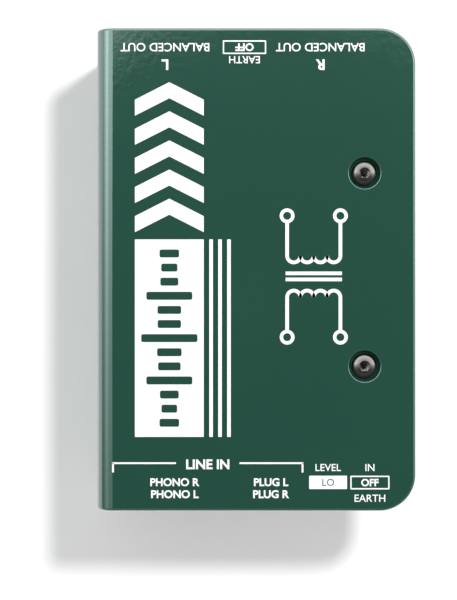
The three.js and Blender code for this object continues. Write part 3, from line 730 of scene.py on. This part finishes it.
def build_chassis():
    right = CHASSIS_HIGH.x
    middle = (CHASSIS_LOW.z + CHASSIS_HIGH.z) / 2
    half = (CHASSIS_HIGH.z - CHASSIS_LOW.z) / 2
    wall = Fold([
        (CHASSIS_LOW.x, -PANEL_Y, 0),
        (right, -PANEL_Y, CHASSIS_BEND),
        (right, PANEL_Y, CHASSIS_BEND),
        (CHASSIS_LOW.x, PANEL_Y, 0),
    ])
    ear = Fold([(0, 0, 0), (0, half, CHASSIS_BEND), (EAR_INNER - right, half, 0)])
    centres, border = wall_outline(wall, ear, middle, half)
    holes = []
    for name, radius in HOLES.items():
        at = centre_mm(name)
        u = at.x - CHASSIS_LOW.x
        holes.append(punched(u if at.y < 0 else wall.length - u, at.z, radius))
    screw_x = centre_mm(CASE_SCREWS[0]).x
    ear_hole = ear.length - (screw_x - EAR_INNER)
    for u in centres:
        for side in (-1, 1):
            holes.append(punched(u, middle + side * ear_hole, EAR_HOLE))
    pattern = plate(border, -SHEET, 0, 0.15, holes, rim_steps=2)

    def fold_ear(point, normal):
        side = 1 if point.y > middle else -1
        distance = abs(point.y - middle)
        on_ear = any(abs(point.x - u) < EAR_HALF + RELIEF / 2 for u in centres)
        if not on_ear or distance < ear.creases[0]:
            return Vector(point), normal
        flat = Vector((distance, 0, point.z))
        spot, turned = ear.move(flat, Vector((side * normal.y, 0, normal.z)), lambda place, _: place)
        place = Vector((point.x, middle + side * spot.y, spot.x))
        return place, Vector((normal.x, side * turned.y, turned.x))

    def to_space(spot, z):
        return Vector((spot.x, spot.y, z))

    ear_creases = [middle + side * place for side in (-1, 1) for place in ear.creases]
    eared = folded(pattern, ear_creases, Vector((0, 1, 0)), fold_ear)
    piece("chassis", [wall.applied(eared, to_space)], CHASSIS_PAINT, stands_for="chassis_frame")


# --- screws

def dome(radius, height, low, crown, steps=9):
    """Rings up the side of an elliptical dome, from its full radius to the radius of its crown."""
    last = math.acos(crown / radius)
    rise = (height - low) / math.sin(last)
    turns = [last * k / steps for k in range(steps + 1)]
    return [(radius * math.cos(t), low + rise * math.sin(t)) for t in turns]


def cross_recess(reach, top, depth):
    """Rings from a flat crown down into a cross recess."""
    wide = cross_radius(reach, reach * math.tan(math.radians(15)))
    narrow = cross_radius(0.55 * reach, 0.5 * reach * math.tan(math.radians(15)))
    return [(wide, top), (narrow, top - depth)]


SOCKET_FLAT = 1.19  # from the middle of the hexagon socket to a flat


def build_case_screws():
    """Button-head screws with a hexagon socket, whose floor is the cone that a drill leaves."""
    height = 1.8
    chamfer = 0.12
    socket_depth = 1.1
    for name in CASE_SCREWS:
        low, high = box_mm(name)
        out = 1 if "_top_" in name else -1
        crown = high.z if out > 0 else low.z
        at = centre_mm(name)
        radius = (high.x - low.x) / 2
        socket = polygon_radius(SOCKET_FLAT, 6)
        shank = [(0.9, -6.3), (1.5, -5.7), (1.5, -0.25), (1.75, 0), (radius - 0.15, 0), (radius, 0.15)]
        rings = shank + dome(radius, height, 0.42, SOCKET_FLAT + 0.28) + [
            (SOCKET_FLAT + 0.2, height),
            (socket, height - chamfer),
            (socket, height - socket_depth),
            (0.2, height - socket_depth - 0.55 * SOCKET_FLAT),
        ]
        screw = loft(rings).placed(facing((0, 0, out), (at.x, at.y, crown - out * height)))
        piece(name.replace("screw", "bolt"), [screw], BLACK_STEEL, stands_for=name)


# --- XLR outputs

XLR_CUP = 11.7
XLR_CAVITY = 9.6
XLR_FLOOR = -12.5
XLR_COLLAR = 11.0
XLR_COLLAR_RISE = 0.7


def key_groove(angle):
    """The groove for a plug's key, at the top of the cup, and the land that carries it."""
    away = abs(math.atan2(math.cos(angle), math.sin(angle)))
    return 1.1 * min(1, max(0, (0.24 - away) / 0.05))


def build_xlr(side):
    low, high = box_mm(f"xlr_{side}_housing")
    at = centre_mm(f"xlr_{side}_housing")
    place = on_panel(1, f"xlr_{side}_housing")
    half_width = (high.x - low.x) / 2
    half_height = (high.z - low.z) / 2
    face = high.y - PANEL_Y
    back = low.y - PANEL_Y
    mouth = profile([
        (XLR_COLLAR + 0.3, face, 0),
        (XLR_COLLAR, face, 0.2),
        (XLR_COLLAR, face + XLR_COLLAR_RISE, 0.3),
        (XLR_CAVITY + 0.3, face + XLR_COLLAR_RISE, 0.4),
        (XLR_CAVITY, -0.5, 0.5),
        (XLR_CAVITY, XLR_FLOOR, 0.6),
        (XLR_CAVITY - 1.2, XLR_FLOOR, 0),
    ])
    cup = profile([
        (XLR_CUP - 0.7, back, 0),
        (XLR_CUP, back, 0.5),
        (XLR_CUP, SEAT, 0.15),
        (XLR_CUP + 0.4, SEAT, 0),
    ])
    turnings = [
        ((0, 0), mouth, 96, True, False, key_groove),
        ((0, 0), cup, 64, False, True),
    ]
    screws = []
    for part in XLR_SCREWS:
        spot = centre_mm(f"xlr_{side}_screw_{part}")
        local = (-(spot.x - at.x), spot.z - at.z)
        screws.append((part, local))
        sink = profile([
            (3.0, face, 0),
            (2.85, face, 0.08),
            (1.7, 0.75, 0.1),
            (1.7, SEAT, 0.1),
            (2.2, SEAT, 0),
        ])
        turnings.append((local, sink, 48, True, True))
    border = rectangle(-half_width, half_width, -half_height, half_height, 3, steps=8)
    housing = plate(border, SEAT, face, 0.35, turnings).placed(place)
    piece(f"xlr_{side}_cup", [housing], BLACK_PLASTIC, stands_for=f"xlr_{side}_housing")

    for number in (1, 2, 3):
        name = f"xlr_{side}_pin_{number}"
        tail, tip = (end.y - PANEL_Y for end in box_mm(name))
        pin = lathe([(1.0, tail, 0), (1.2, tail, 0.1), (1.2, tip, 0.7), (0.15, tip, 0)], 32, 8)
        pin.placed(on_panel(1, name))
        piece(f"xlr_{side}_contact_{number}", [pin], NICKEL, stands_for=name)

    for part, local in screws:
        name = f"xlr_{side}_screw_{part}"
        shank = [(0.7, -3.4), (1.4, -2.8), (1.4, 0.6)]
        head = [(2.65, face - 0.18), (2.7, face - 0.08), (2.4, face - 0.03)]
        screw = loft(shank + head + cross_recess(1.5, face - 0.03, 0.9))
        screw.placed(Matrix.Translation((*local, 0))).placed(place)
        piece(f"xlr_{side}_fixing_{part}", [screw], BLACK_STEEL, stands_for=name)


# --- input jacks

def thread(outer, low, high, pitch=0.7, depth=0.25):
    """Rings of a fine thread, drawn as plain grooves."""
    turns = int((high - low) / pitch)
    rings = []
    for k in range(turns):
        start = low + k * pitch
        rings += [(outer, start), (outer, start + 0.3 * pitch), (outer - depth, start + 0.65 * pitch)]
    return rings + [(outer, low + turns * pitch)]


def hex_nut(apothem, bore, low, high):
    """A hexagon nut with chamfered corners and a countersunk bore."""
    full = polygon_radius(apothem, 6)
    eased = polygon_radius(apothem, 6, 1.06 * apothem)
    chamfer = 0.35
    outside = [(eased, low), (full, low + 0.25), (full, high - chamfer), (eased, high), (apothem, high)]
    return outside + [(bore + 0.35, high), (bore, high - 0.35), (bore, low)]


PHONO_SLEEVE = 4.15
PHONO_BORE = 3.6
PHONO_FLANGE = 4.8
PHONO_CORE = 3.3
PHONO_COLLAR = 5.1


def build_phono(name):
    """One phono jack's sleeve and insulator. Its centre contact is returned, as one piece holds all."""
    sleeve_low, sleeve_high = box_mm(f"phono_{name}_sleeve")
    place = on_panel(-1, f"phono_{name}_sleeve")
    end = -sleeve_low.y - PANEL_Y
    start = -sleeve_high.y - PANEL_Y
    barrel = lathe([
        (PHONO_BORE, start, 0),
        (PHONO_FLANGE, start, 0.1),
        (PHONO_FLANGE, start + 0.7, 0.2),
        (PHONO_SLEEVE, start + 0.7, 0.3),
        (PHONO_SLEEVE, end - 0.8, 0.2),
        (PHONO_SLEEVE + 0.15, end - 0.5, 0.15),
        (PHONO_SLEEVE, end, 0.12),
        (PHONO_BORE + 0.1, end, 0.12),
        (PHONO_BORE, start, 0),
    ], closed=True).placed(place)
    piece(f"phono_{name}_barrel", [barrel], NICKEL, stands_for=f"phono_{name}_sleeve")

    core_end = -box_mm(f"phono_{name}_insulator")[0].y - PANEL_Y
    insert = lathe([
        (PHONO_COLLAR - 0.5, -SHEET, 0),
        (PHONO_COLLAR, -SHEET, 0.1),
        (PHONO_COLLAR, 0.5, 0.2),
        (PHONO_CORE, 0.5, 0.05),
        (PHONO_CORE, core_end, 0.25),
        (1.9, core_end, 0.15),
        (1.65, core_end - 0.4, 0.1),
        (1.65, -1.0, 0.1),
        (1.0, -1.0, 0),
    ]).placed(place)
    plastic = RED_PLASTIC if name.endswith("right") else WHITE_PLASTIC
    piece(f"phono_{name}_core", [insert], plastic, stands_for=f"phono_{name}_insulator")

    return lathe([
        (1.15, -0.9, 0),
        (1.5, -0.9, 0.1),
        (1.5, core_end - 1.2, 0.1),
        (1.15, core_end - 1.2, 0.1),
        (1.15, 0.0, 0.1),
        (0.5, 0.0, 0),
    ], 32).placed(place)


def plug_jack(name, depth, bore, bushing, count):
    """A jack's moulded body behind the input panel, with its threaded bushing through the panel."""
    low, high = box_mm(f"{name}_body")
    at = centre_mm(f"{name}_nut")
    border = rectangle(low.x - at.x, high.x - at.x, low.z - at.z, high.z - at.z, 0.6, steps=4)
    floor_at = 1.5 - depth
    path = profile([(bore + 0.3, 0, 0), (bore, 0, 0.1), (bore, floor_at, 0.2), (0.5, floor_at, 0)])
    block = plate(border, -depth, 0, 0.3, [((0, 0), path, 48, True, False)])
    block.placed(facing((0, -1, 0), (at.x, high.y - depth, at.z)))
    skins = [loft(bushing, count).placed(on_panel(-1, f"{name}_nut")), block]
    piece(f"{name}_shell", skins, BLACK_PLASTIC, stands_for=f"{name}_body")


def build_input_jacks():
    contacts = [build_phono(name) for name in PHONO_JACKS]
    piece("phono_contacts", contacts, GILT)

    shank = [(0.6, -8.5), (1.25, -7.5), (1.25, 0.1), (2.6, 0.1), (2.7, 0.25)]
    head = dome(2.7, 1.75, 0.5, 1.6, 6) + cross_recess(1.4, 1.75, 1.0)
    screw = loft(shank + head).placed(on_panel(-1, "phono_block_screw"))
    piece("phono_fixing", [screw], ZINC, stands_for="phono_block_screw")

    place = on_panel(-1, "phone_jack_nut")
    washer = lathe([
        (5.0, 0.1, 0),
        (7.2, 0.1, 0.1),
        (7.2, 0.7, 0.2),
        (5.0, 0.7, 0.1),
        (5.0, 0.1, 0),
    ], closed=True).placed(place)
    piece("phone_jack_shim", [washer], NICKEL, stands_for="phone_jack_washer")
    nut = loft(hex_nut(6.35, 5.0, 0.8, 3.2), closed=True).placed(place)
    piece("phone_jack_hexagon", [nut], NICKEL, stands_for="phone_jack_nut")
    mouth = [(4.45, 5.05), (4.2, 5.2), (3.7, 5.2), (3.25, 4.75), (3.25, -20), (2.0, -20.2)]
    bushing = [(3.9, -1.8), (4.7, -1.8)] + thread(4.7, 0.2, 4.9) + mouth
    plug_jack("phone_jack", 24, 3.6, bushing, 64)

    def knurl(radius):
        return lambda angle: radius + 0.09 * math.cos(36 * angle)

    outside = [(4.0, 0.1), (knurl(4.3), 0.3), (knurl(4.3), 1.8), (3.9, 2.1)]
    ring = loft(outside + [(3.4, 2.1), (3.2, 1.9), (3.2, 0.1)], 144, closed=True)
    ring.placed(on_panel(-1, "mini_jack_nut"))
    piece("mini_jack_ring", [ring], NICKEL, stands_for="mini_jack_nut")
    mouth = [(2.7, 3.3), (2.5, 3.4), (2.1, 3.4), (1.8, 3.1), (1.8, -9), (1.0, -9.2)]
    bushing = [(2.4, -1.8), (2.9, -1.8)] + thread(2.9, 0.2, 3.2, 0.5, 0.18) + mouth
    plug_jack("mini_jack", 12, 2.2, bushing, 48)


# --- push switches

def coil(radius, wire, low, high, turns, steps=28):
    """A compression spring along Z, with its end turns closed up."""
    skin = Skin()
    loops = []
    count = int(turns * steps)
    for k in range(count + 1):
        t = k / count
        angle = 2 * math.pi * turns * t
        rise = t * t * (3 - 2 * t)
        centre = Vector((radius * math.cos(angle), radius * math.sin(angle), low + (high - low) * rise))
        out = Vector((math.cos(angle), math.sin(angle), 0))
        normals = []
        for j in range(8):
            turn = 2 * math.pi * j / 8
            normals.append(out * math.cos(turn) + Vector((0, 0, 1)) * math.sin(turn))
        loops.append(skin.loop([centre + n * wire for n in normals], normals))
    skin.enclose(loops)
    return skin


def build_switch(name, sign):
    low, high = box_mm(f"{name}_button")
    place = on_panel(sign, f"{name}_button")
    proud = (high.y if sign > 0 else -low.y) - PANEL_Y
    length = high.y - low.y
    radius = (high.x - low.x) / 2
    cap_length = 3.6
    cap = lathe([
        (1.9, proud - cap_length, 0),
        (radius - 0.05, proud - cap_length, 0.1),
        (radius, proud, 0.35),
        (1.75, proud, 0.3),
        (1.5, proud - 0.25, 0.2),
        (0.3, proud - 0.25, 0),
    ]).placed(place)
    stem_end = proud - length
    stem = plate(rectangle(-1.8, 1.8, -1.8, 1.8, 0.4, steps=4), stem_end, proud - cap_length + 0.4, 0.25)
    stem.placed(place)
    piece(f"{name}_key", [cap, stem], BLACK_PLASTIC, stands_for=f"{name}_button", body=f"{name}_plunger")

    low, high = box_mm(f"{name}_switch_spring")
    deep = (low.y if sign > 0 else -high.y) - PANEL_Y
    spring_length = high.y - low.y
    wire = 0.2
    helix = coil((high.x - low.x) / 2 - wire, wire, deep + wire, deep + spring_length - wire, turns=4.5)
    helix.placed(on_panel(sign, f"{name}_switch_spring"))
    made = piece(f"{name}_return_spring", [helix], NICKEL, stands_for=f"{name}_switch_spring")
    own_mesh(made)


# --- inside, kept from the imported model

INSIDE = {
    "chassis_web": ZINC,
    "main_board": BOARD,
    "phono_jack_block": BLACK_PLASTIC,
    "mini_jack_lead": LEAD_PLASTIC,
}
for screw_name in CASE_SCREWS:
    INSIDE[screw_name.replace("case_screw", "clinch_nut")] = ZINC
for place_name in ("front", "rear"):
    INSIDE[f"board_standoff_{place_name}"] = NICKEL
    INSIDE[f"board_screw_{place_name}"] = ZINC
for side_name in SIDES:
    INSIDE[f"transformer_{side_name}_core"] = CORE
    INSIDE[f"transformer_{side_name}_bobbin"] = BOBBIN_PLASTIC
    INSIDE[f"transformer_{side_name}_winding"] = TAPE
for switch_name in SWITCHES:
    INSIDE[f"{switch_name}_switch_housing"] = BLACK_PLASTIC


def dress_inside():
    for name, material in INSIDE.items():
        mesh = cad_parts[name].data
        mesh.materials.clear()
        mesh.materials.append(material)


# --- print on the top plate

def sheet(border, cutouts=(), lift=0.0):
    """A printed shape: its lower face is sunk in the plate, so that no light gets under it."""
    return plate(border, TOP - SUNK, TOP + INK + lift, 0.01, cutouts=cutouts, rim_steps=1)


def bar(x0, x1, y0, y1, radius=0.05):
    return sheet(rectangle(x0, x1, y0, y1, radius, steps=3))


def framed(x0, x1, y0, y1):
    line = 0.35
    inner = rectangle(x0 + line, x1 - line, y0 + line, y1 - line, 0.1, steps=2)
    return sheet(rectangle(x0, x1, y0, y1, 0.2, steps=2), [inner])


def lettering(text, x, y, height, weight, turn=0, lift=0.0):
    """Capitals of a given height, centred on a point and turned about it."""
    data = bpy.data.curves.new("lettering", "FONT")
    data.body = text
    data.offset = weight
    data.extrude = 0.5
    data.resolution_u = 4
    holder = bpy.data.objects.new("lettering", data)
    mesh = bpy.data.meshes.new_from_object(holder)
    made = bmesh.new()
    made.from_mesh(mesh)
    bmesh.ops.remove_doubles(made, verts=made.verts[:], dist=1e-5)
    bpy.data.objects.remove(holder)
    bpy.data.meshes.remove(mesh)
    xs = [vert.co.x for vert in made.verts]
    ys = [vert.co.y for vert in made.verts]
    middle = Vector(((min(xs) + max(xs)) / 2, (min(ys) + max(ys)) / 2, 0))
    size = height / (max(ys) - min(ys))
    stretch = Vector((size, size, INK + SUNK))
    mid_ink = TOP + lift + (INK - SUNK) / 2
    place = Matrix.Translation((x, y, mid_ink)) @ Matrix.Rotation(math.radians(turn), 4, "Z")
    skin = Skin()
    skin.wound = True
    made.verts.index_update()
    for vert in made.verts:
        skin.points.append(place @ ((vert.co - middle) * stretch))
        skin.normals.append(Vector((0, 0, 1)))
    skin.faces = faces_of(made)
    made.free()
    return skin


# Stroke weights of the lettering, as a share of its size.
THIN = 0.006
MEDIUM = 0.01
BOLD = 0.03

# Plain words for connectors and switches, with their centre, height and weight.
INPUT_WORDS = [
    ("LINE IN", -12.65, -51.2, 2.6, BOLD),
    ("PHONO R", -21.3, -55.9, 2.15, BOLD),
    ("PHONO L", -21.3, -59.05, 2.15, BOLD),
    ("PLUG L", 4, -55.9, 2.15, BOLD),
    ("PLUG R", 4, -59.05, 2.15, BOLD),
    ("LEVEL", 19.0, -52.05, 1.87, THIN),
    ("IN", 29.95, -52.05, 1.87, THIN),
    ("OFF", 29.95, -56.0, 2.0, BOLD),
    ("EARTH", 29.95, -60.1, 1.9, THIN),
]
OUTPUT_WORDS = [
    ("BALANCED OUT", -23.9, 58.4, 2.25, MEDIUM),
    ("BALANCED OUT", 16.9, 58.4, 2.25, MEDIUM),
    ("L", -23.9, 53.8, 2.8, BOLD),
    ("R", 16.9, 53.8, 2.8, BOLD),
    ("OFF", -3, 58.4, 2.1, BOLD),
    ("EARTH", -3, 55.1, 1.9, THIN),
]


def build_legends():
    shapes = [lettering(*word) for word in INPUT_WORDS]
    shapes += [lettering(*word, turn=180) for word in OUTPUT_WORDS]
    line = 0.47
    bracket_y = -50.9
    drop = 2.45
    for start, end, tick in ((-37.8, -21.0, -37.8), (-4.3, 12.5, 12.0)):
        shapes.append(bar(start, end, bracket_y - line / 2, bracket_y + line / 2))
        shapes.append(bar(tick, tick + 0.5, bracket_y - drop, bracket_y))
    shapes.append(framed(24.8, 35.1, -57.8, -54.2))
    shapes.append(framed(-8.7, 2.7, 56.6, 60.2))
    shapes.append(bar(14.0, 23.95, -57.7, -54.2, 0.15))
    piece("legends", shapes, WHITE_INK)
    pad_word = lettering("LO", 19.0, -55.95, 1.85, THIN, lift=INK)
    piece("pad_legend", [pad_word], GREEN_INK)


def upward(x, y):
    """The place of artwork that reads towards +Y, with its lower left corner at a point."""
    return Matrix.Translation((x, y, 0)) @ Matrix.Rotation(QUARTER, 4, "Z")


def arc_band(x, y, radius, width, first, last, steps=14):
    """A curved line, as an outline."""
    points = []
    there = range(steps + 1)
    for reach, order in ((radius + width / 2, there), (radius - width / 2, reversed(there))):
        for k in order:
            angle = first + (last - first) * k / steps
            points.append((x + reach * math.cos(angle), y + reach * math.sin(angle), 0))
    return outline(points)


def circle(x, y, radius, count=40):
    normals = [Vector((math.cos(a), math.sin(a))) for a in all_round(count)]
    return [(Vector((x, y)) + n * radius, n) for n in normals]


BLOCK_START = -44.0  # the white block's end nearest the inputs


def build_graphics():
    """A block with level bars, a run of chevrons, three plain lines and a transformer symbol."""
    block_height = 18.1
    column_x = -13.7
    block_length = 51.9
    bars = 13
    pitch = block_length / (bars + 1)
    slots = []
    for k in range(bars):
        swell = math.sin(math.pi * (k + 1) / (bars + 1))
        reach = 1.2 + 6.2 * swell * (0.55 + 0.45 * math.cos(2.1 * k))
        middle = pitch * (k + 1)
        low = block_height / 2 - reach
        high = block_height / 2 + reach
        slots.append(rectangle(middle - 1.05, middle + 1.05, low, high, 0.5, steps=4))
    block = sheet(rectangle(0, block_length, 0, block_height, 0.1, steps=3), slots)
    shapes = [block.placed(upward(column_x, BLOCK_START))]

    band = 4.2
    point = 4.6
    middle = block_height / 2
    chevrons = []
    for k in range(5):
        x = 7.65 * k
        tip = x + band + point
        right = [(x, 0), (x + band, 0), (tip, middle), (x + band, block_height)]
        left = [(x, block_height), (tip - band, middle)]
        chevrons.append(sheet(outline([(*corner_at, 0.05) for corner_at in right + left], 2)))
    shapes += [shape.placed(upward(column_x, 9.8)) for shape in chevrons]

    stripe = 0.95
    for k in range(3):
        low = 2.35 * k
        plain_line = sheet(rectangle(0, block_length, low, low + stripe, 0.1, steps=2))
        shapes.append(plain_line.placed(upward(-6.6, BLOCK_START)))

    turns = 4
    loop = 1.75
    line = 0.95
    height = 2 * loop * turns
    symbol = []
    for axis, facing_in, outer in ((13.2, 1, 4.2), (24.1, -1, 33.1)):
        for k in range(turns):
            start = -QUARTER if facing_in > 0 else QUARTER
            band = arc_band(axis, loop * (2 * k + 1), loop, line, start, start + math.pi)
            symbol.append(sheet(band))
        for y in (0, height):
            ends = sorted((axis + 0.1 * facing_in, outer))
            symbol.append(sheet(rectangle(*ends, y - line / 2, y + line / 2, 0.05, steps=2)))
            ring_x = outer - facing_in * 1.5
            symbol.append(sheet(circle(ring_x, y, 1.95), [circle(ring_x, y, 1.05)], lift=0.01))
    for x in (17.4, 19.0):
        symbol.append(sheet(rectangle(x, x + line, -0.4, height + 0.4, 0.05, steps=2)))
    shapes += [shape.placed(upward(22.2, -20.5)) for shape in symbol]
    piece("graphics", shapes, WHITE_INK)


# --- camera, light and floor

EVEN = 0.42  # diffuse light from all round
BACKDROP = 0.76  # what the camera sees above the far edge of the floor
# Degrees from the camera's axis, and how bright a reflection is there.
SOFT_BOXES = [
    (0, 0.02), (11.3, 0.06), (15.3, 3.7), (35, 3.9), (44, 5.6), (50, 7.4), (62, 4.4), (82, 1.5),
    (90, 3.0), (105, 0.7), (180, 0.3),
]
# Height in the picture, from -1 to 1, and the soft boxes' share of their light there.
SOFT_BOX_GAINS = [
    (-0.36, 0.12), (-0.13, 0.36), (0, 0.78), (0.12, 1.38), (0.2, 1.75), (0.36, 1.35), (1, 1.3),
]
# 1 + how far a ray leans to the camera, and how brightly the floor glows there in reflections: a painted
# reflection, as the floor is no lamp.
FLOOR_GLOW_IN_REFLECTIONS = [
    (0, 0.8), (0.1, 1.1), (0.3, 2.5), (0.5, 2.5), (0.7, 3.1), (0.9, 3.4), (1.0, 3.2), (1.1, 0.9),
]


def in_camera_space(tree, direction):
    """A direction as the camera sees it: x to the right, y up the picture, z away from the camera."""
    spaces = {"convert_from": "WORLD", "convert_to": "CAMERA"}
    return node(tree, "VectorTransform", {"Vector": direction}, **spaces).outputs["Vector"]


def ramp(tree, value, limit, stops):
    """A piecewise linear function of a value between 0 and a limit, and the strength to scale it by."""
    share = maths(tree, "DIVIDE", value, limit)
    made = node(tree, "ValToRGB", {"Fac": share})
    while len(made.color_ramp.elements) < len(stops):
        made.color_ramp.elements.new(0.5)
    peak = max(height for _, height in stops)
    for element, (place, height) in zip(made.color_ramp.elements, stops):
        element.position = place / limit
        element.color = (*(height / peak,) * 3, 1)
    return made.outputs["Color"], peak


def background():
    """Even light for diffuse surfaces. Reflections see soft boxes that stand in a ring round the camera,
    brighter towards the top of the picture, and a dim room behind the object."""
    world = bpy.data.worlds.new("studio")
    bpy.context.scene.world = world
    world.use_nodes = True
    tree = world.node_tree
    tree.nodes.clear()
    direction = in_camera_space(tree, node(tree, "TexCoord").outputs["Generated"])
    hub = Vector((0.04, -0.01, -1)).normalized()
    off_hub = node(tree, "VectorMath", {0: direction, 1: hub}, operation="DOT_PRODUCT").outputs["Value"]
    angle = maths(tree, "DEGREES", maths(tree, "ARCCOSINE", off_hub))
    ring, peak = ramp(tree, angle, 180, SOFT_BOXES)
    up = node(tree, "SeparateXYZ", {"Vector": direction}).outputs["Y"]
    stops = [(1 + height, gain) for height, gain in SOFT_BOX_GAINS]
    share, top_share = ramp(tree, maths(tree, "ADD", up, 1), 2, stops)
    strength = maths(tree, "MULTIPLY", share, peak * top_share)
    soft_boxes = node(tree, "Background", {"Color": ring, "Strength": strength})
    path = node(tree, "LightPath")
    even_strength = maths(tree, "MULTIPLY_ADD", path.outputs["Is Camera Ray"], BACKDROP - EVEN, EVEN)
    even = node(tree, "Background", {"Color": (1, 1, 1, 1), "Strength": even_strength})
    values = {0: path.outputs["Is Glossy Ray"], 1: even.outputs[0], 2: soft_boxes.outputs[0]}
    node(tree, "OutputWorld", {"Surface": node(tree, "MixShader", values).outputs[0]})


def lamp(name, kind, place, energy):
    """A lamp that points at the middle of the box's base and doesn't show in reflections."""
    data = bpy.data.lights.new(name, kind)
    data.energy = energy
    made = bpy.data.objects.new(name, data)
    made.location = place * MM
    made.rotation_euler = place.to_track_quat("Z", "Y").to_euler()
    made.visible_glossy = False
    bpy.context.scene.collection.objects.link(made)
    return data


def lamps():
    """A key above the far right corner, which drops the shadow to the near left, and a fill overhead."""
    key = lamp("key", "AREA", Vector((177, 200, 575)), 2.7)
    key.shape = "DISK"
    key.size = 80 * MM
    fill = lamp("fill", "SUN", Vector((0, 0, 1000)), 1.0)
    fill.angle = math.radians(3)


def camera_is_below(tree):
    """1 where the picture is taken from under the floor."""
    camera_place = node(tree, "VectorTransform", {"Vector": (0, 0, 0)}, vector_type="POINT",
                        convert_from="CAMERA", convert_to="WORLD").outputs["Vector"]
    height = node(tree, "SeparateXYZ", {"Vector": camera_place}).outputs["Z"]
    return maths(tree, "LESS_THAN", height, 0)


def floor():
    """Pale paper. Reflections see it brighter than it is, as if it curved up behind the box, and it is
    left out of pictures taken from below."""
    reach = 40
    low = -0.02 * MM
    mesh = bpy.data.meshes.new("floor")
    corners = [(-reach, -reach, low), (reach, -reach, low), (reach, reach, low), (-reach, reach, low)]
    mesh.from_pydata(corners, [], [(0, 1, 2, 3)])
    made = Finish("floor_paper", Roughness=0.9, Specular_IOR_Level=0.1)
    made.colour(made.patches(30), (0.89, 0.89, 0.89, 1), (0.91, 0.91, 0.91, 1))
    back = in_camera_space(made.tree, made.node("NewGeometry").outputs["Incoming"])
    depth = made.node("SeparateXYZ", {"Vector": back}).outputs["Z"]
    light, peak = ramp(made.tree, maths(made.tree, "ADD", depth, 1), 2, FLOOR_GLOW_IN_REFLECTIONS)
    # Painted reflection: an emission that only reflections see, as if a bright sweep stood behind the
    # box.
    bright = made.node("Emission", {"Color": light, "Strength": peak}).outputs[0]
    mirrored = made.node("LightPath").outputs["Is Glossy Ray"]
    seen = made.node("MixShader", {0: mirrored, 1: made.shader.outputs[0], 2: bright}).outputs[0]
    clear = made.node("BsdfTransparent").outputs[0]
    below = camera_is_below(made.tree)
    made.set_surface(made.node("MixShader", {0: below, 1: seen, 2: clear}).outputs[0])
    mesh.materials.append(made.material)
    paper = bpy.data.objects.new("floor", mesh)
    bpy.context.scene.collection.objects.link(paper)


def camera():
    """Straight above the box, which stands a little right of and above the middle of the picture."""
    data = bpy.data.cameras.new("camera")
    distance = 400
    picture_height = 157.65
    data.sensor_width = 36
    data.lens = data.sensor_width * distance / picture_height
    data.clip_start = 0.01
    made = bpy.data.objects.new("camera", data)
    made.location = Vector((-7.2, -8.03, TOP + distance)) * MM
    bpy.context.scene.collection.objects.link(made)
    bpy.context.scene.camera = made


build_shell()
build_pad()
build_chassis()
build_case_screws()
for xlr_side in SIDES:
    build_xlr(xlr_side)
build_input_jacks()
for switch, switch_end in SWITCHES.items():
    build_switch(switch, switch_end)
dress_inside()
build_legends()
build_graphics()
background()
lamps()
floor()
camera()
bpy.context.scene.view_settings.view_transform = "Standard"
